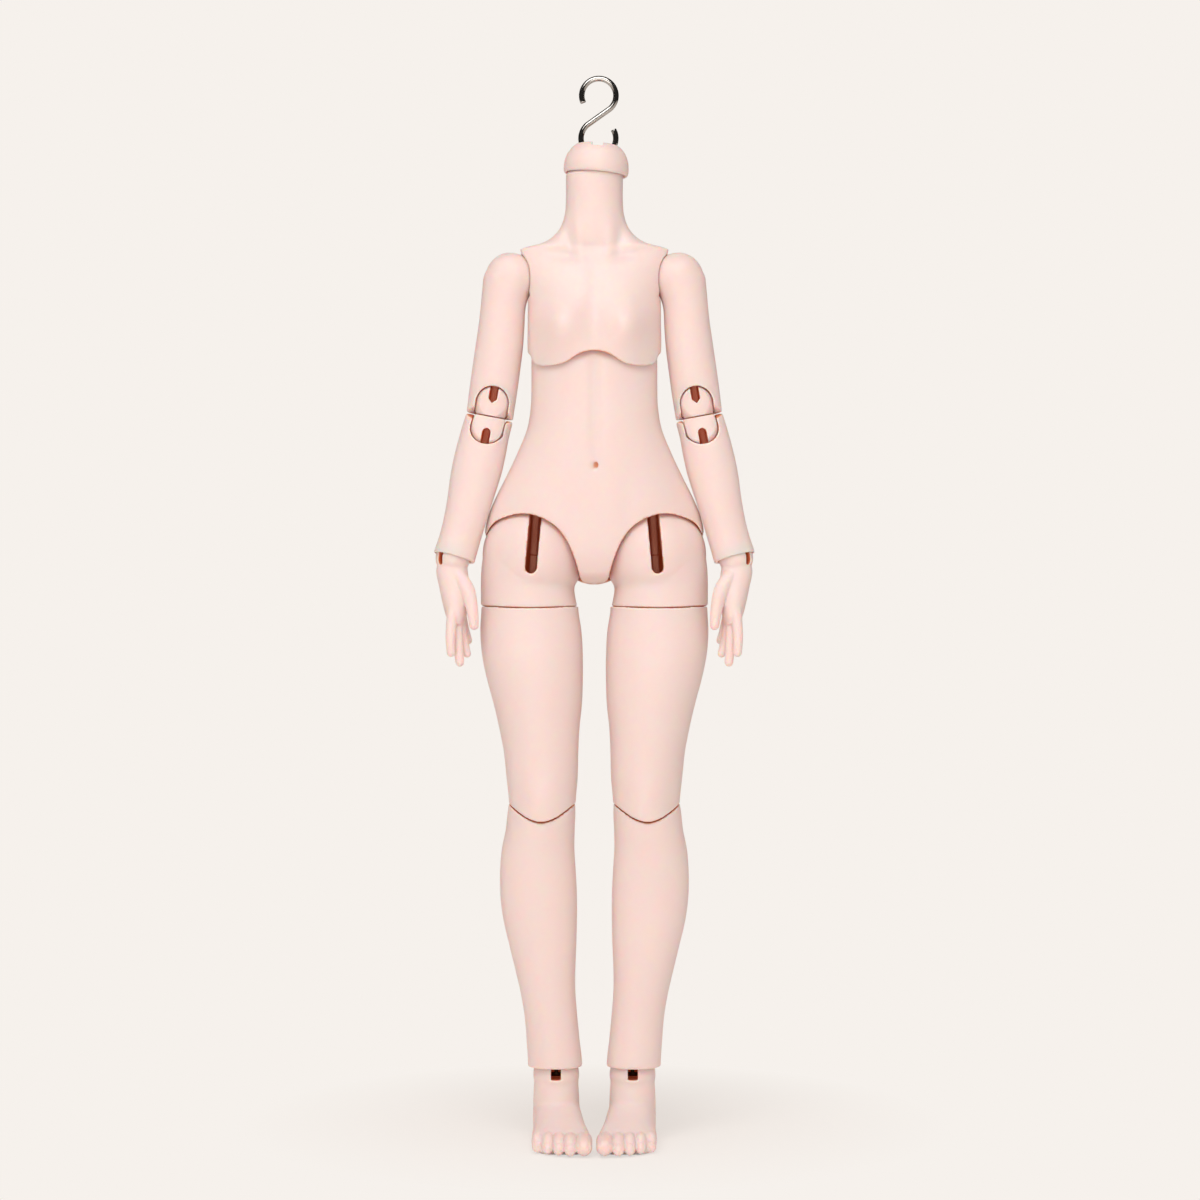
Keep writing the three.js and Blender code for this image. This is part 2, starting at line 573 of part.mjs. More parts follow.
const forearmRows = [
  [ELBOW_SPACING - ELBOW_UPPER_SEAM, -0.5, 0, 8.4, 7.2, 7.8],
  [-1, -0.55, 0, 8.55, 7.6, 8.2],
  [-8, -0.3, 0, 8.85, 8.2, 8.6],
  [-14, -0.1, 0, 8.9, 8.2, 8.5],
  [-20, 0.05, 0, 8.55, 7.9, 8.1],
  [-27, 0.35, 0, 7.9, 7.4, 7.5],
  [-35, 0.6, 0, 7.4, 6.9, 7.0],
  [-41, 0.6, 0, 7.25, 6.8, 6.9],
  [0.2 - FOREARM_LENGTH, 0.4, 0, 7.4, 6.9, 6.9],
];
const forearm = () => {
  const seam = ELBOW_SPACING - ELBOW_UPPER_SEAM - SEAM_GAP;
  return loft(forearmRows, { around: 16, steps: 6 })
    .subtract(pastSeam(seam, -1, FOREARM_TILT))
    .subtract(cup(ELBOW_LOWER_BALL + SEAT_GAP, 0, 0, 0, 12))
    .subtract(elbowArch(0, 1))
    .subtract(cup(WRIST_BALL + SEAT_GAP, 0, 0, -FOREARM_LENGTH, 12))
    .subtract(rodZ(ARM_BORE, FOREARM_LENGTH, 0, 0, -FOREARM_LENGTH / 2, 8));
};
const hand = () => {
  const palm = loft([
    [-1, -0.2, 0, 5.2, 4.8, 5.0],
    [-5, -0.2, 0, 5.6, 4.9, 5.2],
    [-10, 0.6, 0, 5.4, 5.6, 6.0],
    [-16, 1.0, 0, 4.5, 6.4, 6.4],
    [-21, 1.4, 0, 3.5, 6.3, 6.3],
    [-24, 1.7, 0, 2.3, 5.4, 5.4],
  ], { around: 12, steps: 5, square: 2.2 });
  const slot = block(-10, 10, -WRIST_SLOT / 2, WRIST_SLOT / 2, -2.6, 12)
    .add(rodX(WRIST_SLOT / 2, 20, 0, 0, -2.6, 10))
    .add(rodY(SMALL_WIRE / 2 + SEAT_GAP, HAND_HOOK.pin + 2 * SEAT_GAP, 0, 0, 0, 10))
    .rotate([0, 0, WRIST_SLOT_TURN])
    .rotate([0, FOREARM_TILT / DEG, 0]);
  return palm
    .add(ball(WRIST_BALL, 0, 0, 0, 14))
    .add(digit([[0.8, -3.6, -14], [-0.1, -5.4, -25], [-0.3, -5.8, -30], [0, -5.2, -35.8]],
      [2.1, 2.0, 1.75, 1.5]))
    .add(digit([[1.0, -1.4, -14], [1.9, -2.2, -27], [2.4, -2.3, -33], [3.0, -1.8, -38.8]],
      [2.1, 2.0, 1.8, 1.5]))
    .add(digit([[1.4, 1.4, -14], [3.3, 1.4, -26], [4.4, 1.2, -31], [5.6, 1.4, -35.2]],
      [2.0, 1.9, 1.7, 1.4]))
    .add(digit([[1.6, 3.6, -13], [3.6, 4.6, -22], [4.8, 4.6, -26.5], [6.0, 4.6, -30]],
      [1.9, 1.7, 1.5, 1.3]))
    .add(digit([[1.5, -2.2, -6], [5.4, -4.4, -12], [7.2, -5.4, -19], [8.1, -5.4, -26.3]],
      [2.8, 2.7, 2.1, 1.6]))
    .subtract(slot);
};
// cross pin in the ball, shank through the slot and an eye for the string
const stringHook = ({ pin, shank, eye }) => {
  const r = SMALL_WIRE / 2;
  return rodX(r, pin, 0, 0, 0, 6)
    .add(rodZ(r, shank, 0, 0, shank / 2, 6))
    .add(solid(new THREE.TorusGeometry(eye, r, 5, 9).rotateX(Math.PI / 2).translate(0, 0, shank + eye)));
};

for (const side of sides) {
  const shoulder = pivot(figure, side, SHOULDER.x, SHOULDER.y, SHOULDER.z, UPPER_ARM_TILT);
  put(shoulder, side, 'upper_arm', upperArm());
  put(shoulder, side, 'arm_string_upper', string([0, 0, -1.6], [0, 0, -UPPER_ARM_LENGTH + END]), elastic);
  const elbow = pivot(shoulder, side, 0, 0, -UPPER_ARM_LENGTH, ELBOW_TILT - UPPER_ARM_TILT);
  put(elbow, side, 'elbow_upper', elbowPiece(ELBOW_UPPER_BALL, -ELBOW_UPPER_SEAM + 0.1, 1));
  put(elbow, side, 'arm_string_elbow', string([0, 0, -END], [0, 0, -ELBOW_SPACING + END]), elastic);
  const lower = pivot(elbow, side, 0, 0, -ELBOW_SPACING);
  put(lower, side, 'elbow_lower',
    elbowPiece(ELBOW_LOWER_BALL, ELBOW_SPACING - ELBOW_UPPER_SEAM - 0.2, -1));
  const level = pivot(lower, side, 0, 0, 0, -ELBOW_TILT);
  const fore = pivot(level, side, 0, 0, 0, FOREARM_TILT, FOREARM_LEAN);
  put(fore, side, 'forearm', forearm());
  const wrist = pivot(fore, side, 0, 0, -FOREARM_LENGTH);
  put(wrist, side, 'hand_hook', stringHook(HAND_HOOK).rotate([0, 0, 90 + WRIST_SLOT_TURN]), steel);
  const eyeTop = HAND_HOOK.shank + 2 * HAND_HOOK.eye + SMALL_WIRE / 2 + SEAT_GAP;
  put(fore, side, 'arm_string_fore', string([0, 0, -END], [0, 0, -FOREARM_LENGTH + eyeTop]), elastic);
  const palm = pivot(wrist, side, 0, 0, 0, -FOREARM_TILT);
  put(palm, side, 'hand', hand());
}

// legs
// rows in the figure's own frame, right leg
const upperThighRows = [
  [184, -23.1, 0.5, 17.2, 15.6, 18.6],
  [190, -23.2, 0.5, 17.2, 15.5, 18.6],
  [194, -23.6, 0.5, 16.8, 15.2, 18.6],
  [198, -23.85, 0.5, 16.6, 15.2, 18.3],
  [204, -23.0, 0.5, 17.2, 16.4, 17.9],
  [209, -21.9, 0.5, 17.8, 16.9, 17.9],
];
const lowerThighRows = [
  [THIGH_SEAM_Z + 3, -23.0, 0.5, 17.2, 15.6, 18.6],
  [189, -22.95, 0.5, 17.3, 15.7, 18.6],
  [182, -22.6, 0.5, 18.0, 16.4, 18.0],
  [173, -22.0, 0.3, 17.9, 17.0, 17.0],
  [164.5, -21.1, 0, 17.0, 16.4, 15.6],
  [156, -20.1, -0.2, 15.7, 15.6, 14.2],
  [147.4, -19.55, -0.4, 14.25, 14.6, 12.8],
  [139, -18.95, -0.5, 13.25, 13.6, 11.8],
  [130.3, -18.6, -0.5, 12.7, 13.0, 11.2],
  [121.8, -18.5, -0.5, 11.9, 12.8, 10.8],
  [112, -18.6, -0.5, 11.8, 12.6, 10.6],
];
const shinRows = [
  [122, -18.6, -0.3, 11.7, 12.4, 10.6],
  [117.5, -18.8, -0.2, 12.05, 12.2, 10.8],
  [111, -19.3, 0, 12.3, 11.8, 11.4],
  [104.7, -20.0, 0.3, 12.9, 11.3, 12.8],
  [96.2, -20.1, 0.6, 13.5, 10.8, 15.0],
  [87.6, -19.85, 1.0, 13.65, 10.5, 15.6],
  [79.1, -19.3, 1.2, 13.1, 10.2, 15.0],
  [70.5, -18.4, 1.4, 12.0, 10.0, 13.2],
  [62, -17.55, 1.6, 10.8, 9.7, 11.4],
  [53.4, -16.55, 1.8, 9.8, 9.4, 10.2],
  [44.9, -15.5, 2.0, 9.4, 9.2, 9.6],
  [36.4, -14.75, 2.0, 9.45, 9.3, 9.5],
  [ANKLE_CUFF_Z, -14.0, 2.0, 9.65, 9.5, 9.7],
];

// everything above or below the thigh seam, a cone about the swivel axis
const seamSide = (dir) => {
  const middle = THIGH_SEAM_Z - THIGH_SEAM_SLOPE * THIGH_SEAM_RADIUS + dir * SEAM_GAP / 2;
  const reach = 2 * THIGH_SEAM_RADIUS;
  const points = [[0, middle], [reach, middle + THIGH_SEAM_SLOPE * reach],
    [reach, middle - dir * 60], [0, middle - dir * 60]];
  const profile = dir > 0 ? points.reverse() : points;
  return solid(new THREE.LatheGeometry(profile.map((q) => new THREE.Vector2(...q)), 28)
    .rotateX(Math.PI / 2).translate(-THIGH_X, HIP.y, 0));
};
const upperThigh = () => loft(upperThighRows, { around: 20, steps: 4 })
  .add(ball(HIP.ball, -HIP.x, HIP.y, HIP.z, 20))
  .subtract(seamSide(1))
  .subtract(rodZ(THIGH_SPIGOT.radius + SEAT_GAP, 20, -THIGH_X, HIP.y, THIGH_SEAM_Z - 1, 16))
  .subtract(ball(9.5, -HIP.x, HIP.y, HIP.z - 6, 10))
  .subtract(hipSlot());
// the slot runs from low on the front over the top of the ball
const hipSlot = () => {
  const length = 40;
  return block(-HIP_SLOT_WIDTH / 2, HIP_SLOT_WIDTH / 2, -40, 6, 0, length)
    .add(rodY(HIP_SLOT_WIDTH / 2, 46, 0, -17, 0, 12))
    .rotate([0, HIP_SLOT_TILT / DEG, 0])
    .translate([-HIP.x - 0.6, HIP.y, HIP_SLOT_BOTTOM + HIP_SLOT_WIDTH / 2]);
};

// kneecap edge: lowest at the middle of the front, level at the sides
const kneeEdge = (drop) => {
  const points = [];
  const half = 11.6;
  for (let i = 0; i <= 8; i += 1) {
    const x = -half + 2 * half * i / 8;
    const fall = (KNEE_EDGE_SIDE - KNEE_EDGE_FRONT) * Math.cos(x / half * Math.PI / 2) ** 1.1;
    points.push([x - KNEE_X, KNEE_EDGE_SIDE - fall - drop]);
  }
  return [[-40, KNEE_EDGE_SIDE - drop], ...points, [2, KNEE_EDGE_SIDE - drop]];
};
const KNEE_AROUND = 16;
const kneeDisc = (z) => rodX(KNEE_DISC, 2 * KNEE_HALF_WIDTH, -KNEE_X, 0, z, KNEE_AROUND);
const kneeLink = () => kneeDisc(KNEE_UPPER_Z)
  .add(kneeDisc(KNEE_LOWER_Z))
  .add(block(-KNEE_X - KNEE_HALF_WIDTH, -KNEE_X + KNEE_HALF_WIDTH,
    -KNEE_DISC, KNEE_DISC, KNEE_LOWER_Z, KNEE_UPPER_Z));
// room for the knee link through the whole fold, seen from one pivot: its own
// disc and the fan that the straight flanks sweep towards the back
const kneeRoom = (z, dir) => {
  const reach = KNEE_DISC + SEAT_GAP;
  const half = KNEE_HALF_WIDTH + SEAT_GAP;
  const far = 30;
  const fold = KNEE_FLEX * DEG;
  const backY = reach * Math.cos(fold);
  const backZ = reach * Math.sin(fold);
  const fan = [
    [-reach, z], [-reach, z - dir * far], [far, z - dir * far],
    [far, z + dir * (backZ - (far - backY) / Math.tan(fold))], [backY, z + dir * backZ],
  ];
  return prismX(fan, -KNEE_X - half, -KNEE_X + half)
    .add(rodX(reach / Math.cos(Math.PI / KNEE_AROUND), 2 * half, -KNEE_X, 0, z, KNEE_AROUND));
};

const lowerThigh = () => {
  const backCut = prismX([
    [0, KNEE_LOWER_Z + KNEE_CAP_INNER],
    [30, KNEE_LOWER_Z + KNEE_CAP_INNER + 30 * Math.tan(KNEE_BACK_SLOPE)],
    [30, 90], [0, 90],
  ], -50, 10);
  const belowEdge = prismY([...kneeEdge(0), [2, 90], [-40, 90]], -40, 0.01);
  return loft(lowerThighRows, { around: 18, steps: 7 })
    .subtract(seamSide(-1))
    .add(rodZ(THIGH_SPIGOT.radius, 2 * THIGH_SPIGOT.length, -THIGH_X, HIP.y, THIGH_SEAM_Z, 16))
    .subtract(rodZ(THIGH_SPIGOT.radius - THIGH_SPIGOT.wall, 30, -THIGH_X, HIP.y, THIGH_SEAM_Z, 12))
    .subtract(belowEdge)
    .subtract(backCut)
    .subtract(rodX(KNEE_CAP_INNER, 60, -KNEE_X, 0, KNEE_LOWER_Z, 20))
    .subtract(kneeRoom(KNEE_UPPER_Z, 1))
    .subtract(thighBore());
};
const thighBore = () => wire(line([-THIGH_X, HIP.y, THIGH_SEAM_Z - 10], [-KNEE_X, 0, KNEE_UPPER_Z]),
  2 * LIMB_BORE, 1, 8);
const shin = () => {
  const aboveEdge = prismY([...kneeEdge(SEAM_GAP + 0.1), [2, 140], [-40, 140]], -40, 0.01)
    .add(block(-60, 20, 0, 40, KNEE_LOWER_Z, 140));
  const backCut = prismX([
    [0, KNEE_LOWER_Z + KNEE_CAP_INNER - SEAM_GAP],
    [5.5, KNEE_LOWER_Z + 9.6], [30, KNEE_LOWER_Z - 30 * 0.25], [30, 150], [0, 150],
  ], -50, 10);
  return loft(shinRows, { around: 18, steps: 8 })
    .subtract(aboveEdge.subtract(rodX(KNEE_CAP_INNER - SEAT_GAP, 60, -KNEE_X, 0, KNEE_LOWER_Z, 20)))
    .subtract(backCut)
    .subtract(kneeRoom(KNEE_LOWER_Z, -1))
    .subtract(cup(ANKLE.ball + SEAT_GAP, -ANKLE.x, ANKLE.y, ANKLE.z, 14))
    .subtract(wire(line([-KNEE_X, 0, KNEE_LOWER_Z], [-ANKLE.x, ANKLE.y, ANKLE.z]), 2 * LIMB_BORE, 1, 10));
};
const kneeJoint = () => kneeLink()
  .subtract(block(-KNEE_X - KNEE_SLOT / 2, -KNEE_X + KNEE_SLOT / 2, -1.8, 20,
    KNEE_UPPER_Z - 1.8, 160))
  .subtract(block(-KNEE_X - KNEE_SLOT / 2, -KNEE_X + KNEE_SLOT / 2, -1.8, 20,
    80, KNEE_LOWER_Z + 1.8))
  .subtract(rodZ(1.8, 60, -KNEE_X, 0, (KNEE_UPPER_Z + KNEE_LOWER_Z) / 2, 8));

const foot = () => {
  const cx = -ANKLE.x;
  // along the foot: [forward, centre x, centre z, half width, down, up]
  const sole = solid(loftGeometry([
    [-19.5, cx, 6.2, 4.8, 6.4, 3.6],
    [-17.5, cx, 6.8, 7.0, 8.0, 7.0],
    [-13, cx, 7.5, 7.8, 8.6, 9.5],
    [-6, cx, 7.5, 8.4, 8.6, 11.0],
    [2, cx + 0.6, 7.0, 8.7, 8.0, 10.0],
    [10, cx + 1.3, 5.6, 9.4, 6.6, 6.6],
    [16, cx + 1.9, 4.6, 10.2, 5.6, 4.8],
    [20, cx + 2.2, 3.9, 10.2, 4.8, 3.3],
    [22.5, cx + 2.6, 3.2, 8.8, 3.6, 2.0],
  ], { around: 14, steps: 7, square: 2.5 }).rotateX(Math.PI / 2));
  // each toe leaves the foot high and turns down to the floor
  const toe = (x, root, tip, r) => digit(
    [[x, root, 7.4 - r], [x, (root + tip) / 2, 7.2 - r], [x, tip + r, 0.6 + r], [x, tip, r + 0.1]],
    [r, r, r, r], 8, 4);
  return sole
    .add(loft([
      [ANKLE.z + 2, cx, ANKLE.y, 7.6, 7.4, 7.8],
      [18, cx, 2.2, 8.1, 8.0, 8.6],
      [12, cx, 2.8, 8.3, 9.6, 10.4],
      [6, cx, 3, 8.0, 11, 12],
    ], { around: 16, steps: 3 }))
    .add(ball(ANKLE.ball, cx, ANKLE.y, ANKLE.z, 14))
    .add(toe(-3.6, -19, -30.5, 2.95))
    .add(toe(-8.35, -19, -29.6, 2.05))
    .add(toe(-12.3, -18, -28.0, 2.0))
    .add(toe(-16.1, -17, -25.8, 1.95))
    .add(toe(-19.8, -15, -22.8, 1.9))
    .subtract(block(-40, 10, -50, 50, -20, 0))
    .subtract(block(cx - ANKLE_SLOT / 2, cx + ANKLE_SLOT / 2, -8, 12, ANKLE.z - 1.0, ANKLE.z + 12))
    .subtract(rodX(SMALL_WIRE / 2 + SEAT_GAP, FOOT_HOOK.pin + 2 * SEAT_GAP, cx, ANKLE.y, ANKLE.z, 10));
};

for (const side of sides) {
  // each leg piece is built in the figure's frame and hung from its own joint
  const hang = (name, body, x, y, z, material = resin) => {
    const g = pivot(figure, side, x, y, z);
    put(g, side, name, body.translate([x, -y, -z]), material);
  };
  hang('upper_thigh', upperThigh(), HIP.x, HIP.y, HIP.z);
  hang('lower_thigh', lowerThigh(), THIGH_X, HIP.y, THIGH_SEAM_Z);
  hang('knee_joint', kneeJoint(), KNEE_X, 0, KNEE_UPPER_Z);
  hang('shin', shin(), KNEE_X, 0, KNEE_LOWER_Z);
  hang('foot', foot(), ANKLE.x, ANKLE.y, ANKLE.z);
  hang('thigh_string_upper', string([-HIP.x, HIP.y, HIP.z - END],
    [-THIGH_X, HIP.y, THIGH_SEAM_Z + END]), HIP.x, HIP.y, HIP.z, elastic);
  hang('thigh_string_lower', string([-THIGH_X, HIP.y, THIGH_SEAM_Z - END],
    [-KNEE_X, 0, KNEE_UPPER_Z + END]), THIGH_X, HIP.y, THIGH_SEAM_Z, elastic);
  hang('knee_string', string([-KNEE_X, 0, KNEE_UPPER_Z - END], [-KNEE_X, 0, KNEE_LOWER_Z + END]),
    KNEE_X, 0, KNEE_UPPER_Z, elastic);
  const eyeTop = ANKLE.z + FOOT_HOOK.shank + 2 * FOOT_HOOK.eye + SMALL_WIRE / 2 + SEAT_GAP;
  hang('shin_string', string([-KNEE_X, 0, KNEE_LOWER_Z - END], [-ANKLE.x, ANKLE.y, eyeTop]),
    KNEE_X, 0, KNEE_LOWER_Z, elastic);
  hang('foot_hook', stringHook(FOOT_HOOK).translate([-ANKLE.x, ANKLE.y, ANKLE.z]),
    ANKLE.x, ANKLE.y, ANKLE.z, steel);
}

export default figure;
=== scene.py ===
# Headless ball-jointed doll body of cast resin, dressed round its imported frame.
# Built in the figure's own millimetres and set into the frame at the end.
import bisect
import math

import bmesh
import bpy
from mathutils import Matrix, Vector
from mathutils.bvhtree import BVHTree


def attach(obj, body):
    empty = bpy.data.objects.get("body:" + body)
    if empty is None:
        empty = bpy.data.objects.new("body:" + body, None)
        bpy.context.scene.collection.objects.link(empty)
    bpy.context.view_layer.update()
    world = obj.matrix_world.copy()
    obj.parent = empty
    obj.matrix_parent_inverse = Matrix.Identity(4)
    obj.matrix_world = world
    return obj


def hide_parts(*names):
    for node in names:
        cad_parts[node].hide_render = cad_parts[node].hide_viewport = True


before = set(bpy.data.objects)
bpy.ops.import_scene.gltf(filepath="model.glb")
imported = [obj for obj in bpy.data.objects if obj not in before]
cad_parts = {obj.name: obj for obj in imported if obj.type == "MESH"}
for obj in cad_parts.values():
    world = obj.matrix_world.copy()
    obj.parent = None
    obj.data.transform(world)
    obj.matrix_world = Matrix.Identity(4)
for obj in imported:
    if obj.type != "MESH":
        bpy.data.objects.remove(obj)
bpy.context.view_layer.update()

DEG = math.pi / 180
FIGURE_Y = 2.88       # where the figure's own y = 0 lies in the frame
SEAT_GAP = 0.3

NECK = {"y": 1.0, "z": 337.9, "dome": 12.0, "column": 10.15, "rim": 344.3}
WAIST = {"y": -1.4, "z": 274.0, "radius": 15.2, "half": 23.0, "square": 2.25}
SHOULDER = {"x": 29.7, "y": 0.5, "z": 307.5, "ball": 9.2}
HIP = {"x": 21.6, "y": 0.5, "z": 209.0, "ball": 18.2}
KNEE_X = 18.7
KNEE_UPPER_Z = 127.5
KNEE_LOWER_Z = 109.4
ANKLE = {"x": 13.6, "y": 2.0, "z": 24.0, "ball": 8.2}
UPPER_ARM_LENGTH = 44.9
ELBOW_SPACING = 9.5
FOREARM_LENGTH = 48.0
UPPER_ARM_TILT = 8.3 * DEG
ELBOW_TILT = 10.4 * DEG
FOREARM_TILT = 14.7 * DEG
FOREARM_LEAN = 8 * DEG
ELBOW_UPPER_BALL = 6.9
ELBOW_LOWER_BALL = 6.7
ELBOW_UPPER_SEAM = 5.0
ELBOW_UPPER_REACH = 8.6
ELBOW_LOWER_REACH = 9.3
ELBOW_UPPER_DROP = 0.2
ELBOW_LOWER_DROP = 0.9
ELBOW_ARCH = 5.85
COVER_EDGE = 0.3      # between an elbow window and its cover
COVER_SINK = 0.25     # of the cover below the sleeve
ELBOW_SLOT = 2.9
ELBOW_BEVEL = 26 * DEG
ELBOW_BORE = 2.6
ARM_BORE = 3.2
SHOULDER_SLOT = 3.6
SHOULDER_BORE = 4.0
NECK_BORE = 4.4
LEG_BORE = 4.0
HIP_BORE = 5.0
WRIST_BALL = 6.1
WRIST_SLOT = 2.2
WRIST_SLOT_TURN = 45 * DEG
CAP_HEIGHT = 11.1
CAP_TOP = NECK["rim"] + CAP_HEIGHT
CAP_RADIUS = 11.57
CAP_TILT = 4.2 * DEG
CAP_MOUTH = 10.5
CAP_NOTCH = {"half": 1.9, "deep": 1.7}
CAP_ROOM = 4.2
CAP_HOLE = 2.6
WIRE = 2.0
HOOK_SEAT = 2.1
HOOK_LOWER = {"z": CAP_TOP + HOOK_SEAT, "radius": 6.2}
HOOK_UPPER = {"radius": 6.1}
HOOK_STRAIGHT = 8.93
HOOK_TILT = 0.6 * DEG
THIGH_X = 22.9
THIGH_SEAM_Z = 191.0
THIGH_SEAM_RADIUS = 17.5
THIGH_SEAM_SLOPE = 0.3
THIGH_SPIGOT = 8.0
SPIGOT_BORE = 6.2
KNEE_DISC = 8.2
KNEE_HALF_WIDTH = 6.0
KNEE_CAP_INNER = 11.6
KNEE_EDGE_SIDE = 120.7
KNEE_EDGE_FRONT = 115.0
KNEE_EDGE_GAP = 0.4
KNEE_BACK_SLOPE = 35 * DEG
KNEE_FLEX = 55 * DEG
KNEE_SLOT = 3.6
ANKLE_CUFF_Z = 27.0
ANKLE_SLOT = 3.5
HIP_SLOT_WIDTH = 4.1
HIP_SLOT_BOTTOM = 202.3
HIP_SLOT_TILT = 5 * DEG
SMALL_WIRE = 1.4
# voxel of each casting's skin, as fine as its number of triangles allows
GRAIN = {
    "chest": 0.47, "belly": 0.56, "cap": 0.25, "upper arm": 0.36, "elbow": 0.24, "forearm": 0.36,
    "hand": 0.28, "hip ball": 0.46, "thigh": 0.48, "knee link": 0.34, "shin": 0.47, "foot": 0.31,
}
# depth under the outside at which the painted shade of seams and slots starts, and over which it deepens
INNER_START = 0.14
INNER_DEPTH = 1.6
ELBOW_PAINTED_GLOW = 2.4      # painted glow and painted shade show more strongly in the elbow slots
# painted glow and painted shade show more weakly in the hip slots
HIP_PAINTED_GLOW = 0.6


# shapes
def piece(bm, name="tool"):
    """A finished bmesh as an object in the scene."""
    bmesh.ops.recalc_face_normals(bm, faces=bm.faces)
    mesh = bpy.data.meshes.new(name)
    bm.to_mesh(mesh)
    bm.free()
    obj = bpy.data.objects.new(name, mesh)
    bpy.context.scene.collection.objects.link(obj)
    return obj


def ball(radius, x, y, z, around=48):
    """A round ball of quads and two poles."""
    bm = bmesh.new()
    bmesh.ops.create_uvsphere(bm, u_segments=around, v_segments=around // 2, radius=radius)
    bmesh.ops.translate(bm, verts=bm.verts, vec=(x, y, z))
    return piece(bm)


def block(x0, x1, y0, y1, z0, z1):
    """A box between six planes; a cutting box reaches well past the body."""
    bm = bmesh.new()
    bmesh.ops.create_cube(bm, size=1)
    bmesh.ops.scale(bm, verts=bm.verts, vec=(x1 - x0, y1 - y0, z1 - z0))
    bmesh.ops.translate(bm, verts=bm.verts, vec=((x0 + x1) / 2, (y0 + y1) / 2, (z0 + z1) / 2))
    return piece(bm)


def rod(radius, length, x, y, z, axis="Z", around=48):
    """A round bar about its own middle."""
    bm = bmesh.new()
    bmesh.ops.create_cone(bm, cap_ends=True, segments=around, radius1=radius, radius2=radius,
                          depth=length)
    turn = {"X": Matrix.Rotation(math.pi / 2, 3, "Y"), "Y": Matrix.Rotation(math.pi / 2, 3, "X")}
    if axis in turn:
        bmesh.ops.rotate(bm, verts=bm.verts, matrix=turn[axis])
    bmesh.ops.translate(bm, verts=bm.verts, vec=(x, y, z))
    return piece(bm)


def prism(outline, low, high, axis="Y"):
    """A closed outline pushed along Y (points are x, z) or X (points are y, z)."""
    bm = bmesh.new()
    place = (lambda a, b: (a, low, b)) if axis == "Y" else (lambda a, b: (low, a, b))
    verts = [bm.verts.new(place(a, b)) for a, b in outline]
    face = bm.faces.new(verts)
    side = bmesh.ops.extrude_face_region(bm, geom=[face])
    moved = [v for v in side["geom"] if isinstance(v, bmesh.types.BMVert)]
    push = (0, high - low, 0) if axis == "Y" else (high - low, 0, 0)
    bmesh.ops.translate(bm, verts=moved, vec=push)
    bmesh.ops.triangulate(bm, faces=bm.faces)
    return piece(bm)


def curve(points, count):
    """Points along a smooth curve through the given ones, flat or in space."""
    pts = [Vector(p) for p in points]
    last = len(pts) - 1
    made = []
    for i in range(count + 1):
        t = i / count * last
        k = min(int(t), last - 1)
        u = t - k
        p0, p1, p2, p3 = (pts[max(0, min(last, k + j))] for j in (-1, 0, 1, 2))
        made.append(0.5 * (2 * p1 + (p2 - p0) * u + (2 * p0 - 5 * p1 + 4 * p2 - p3) * u * u
                           + (3 * p1 - p0 - 3 * p2 + p3) * u ** 3))
    return made


def section_curve(rows):
    """Smooth change of the sections with height, level at both ends."""
    rows = sorted(rows)
    heights = [row[0] for row in rows]
    last = len(rows) - 1

    def at(z):
        z = min(max(z, heights[0]), heights[last])
        k = min(bisect.bisect_right(heights, z), last) - 1
        t0, t1 = heights[k], heights[k + 1]
        before = (heights[k - 1], rows[k - 1]) if k > 0 else (2 * t0 - t1, rows[k + 1])
        after = (heights[k + 2], rows[k + 2]) if k + 2 <= last else (2 * t1 - t0, rows[k])
        wp = (t1 - t0) / 2 / (t0 - before[0])
        wn = (t1 - t0) / 2 / (after[0] - t1)
        p = (z - t0) / (t1 - t0)
        sp = -wp * p ** 3 + 2 * wp * p * p - wp * p
        s0 = (1 + wp) * p ** 3 + (-1.5 - 2 * wp) * p * p + (wp - 0.5) * p + 1
        s1 = (-1 - wn) * p ** 3 + (1.5 + wn) * p * p + 0.5 * p
        sn = wn * p ** 3 - wn * p * p
        return [sp * before[1][i] + s0 * rows[k][i] + s1 * rows[k + 1][i] + sn * after[1][i]
                for i in range(1, 6)]
    return at


def grow(bm, ring, edges):
    """Extrudes a ring: its new vertices in the old order, and the edges between them."""
    grown = bmesh.ops.extrude_edge_only(bm, edges=edges)["geom"]
    above = {v for v in grown if isinstance(v, bmesh.types.BMVert)}
    follow = {}
    for v in above:
        for e in v.link_edges:
            other = e.other_vert(v)
            if other not in above:
                follow[other] = v
    return [follow[v] for v in ring], [e for e in grown if isinstance(e, bmesh.types.BMEdge)]


def loft(rows, around=72, steps=60, square=2.2, relief=None):
    """Sections [z, x, y, half width, front, back] drawn up into one skin. A relief moves
    a point by its place and its share of the way to the back (1) or front (-1)."""
    at = section_curve(rows)
    low, high = min(r[0] for r in rows), max(r[0] for r in rows)
    bm = bmesh.new()
    ring = bmesh.ops.create_circle(bm, cap_ends=True, segments=around, radius=1)["verts"]
    edges = list(bm.edges)
    turns = [math.atan2(v.co.y, v.co.x) for v in ring]

    def settle(verts, z):
        cx, cy, w, f, b = at(z)
        for v, turn in zip(verts, turns):
            side = math.copysign(abs(math.cos(turn)) ** (2 / square), math.cos(turn))
            back = math.copysign(abs(math.sin(turn)) ** (2 / square), math.sin(turn))
            v.co = (cx + w * side, cy + (f if back < 0 else b) * back, z)
            if relief:
                relief(v.co, back)

    settle(ring, low)
    for i in range(1, steps + 1):
        ring, edges = grow(bm, ring, edges)
        settle(ring, low + (high - low) * i / steps)
    bmesh.ops.contextual_create(bm, geom=edges)
    bmesh.ops.triangulate(bm, faces=[f for f in bm.faces if len(f.verts) > 4])
    return piece(bm)


def inset(rows, wall):
    """The same sections, smaller all round."""
    return [[z, cx, cy, w - wall, f - wall, b - wall] for z, cx, cy, w, f, b in rows]


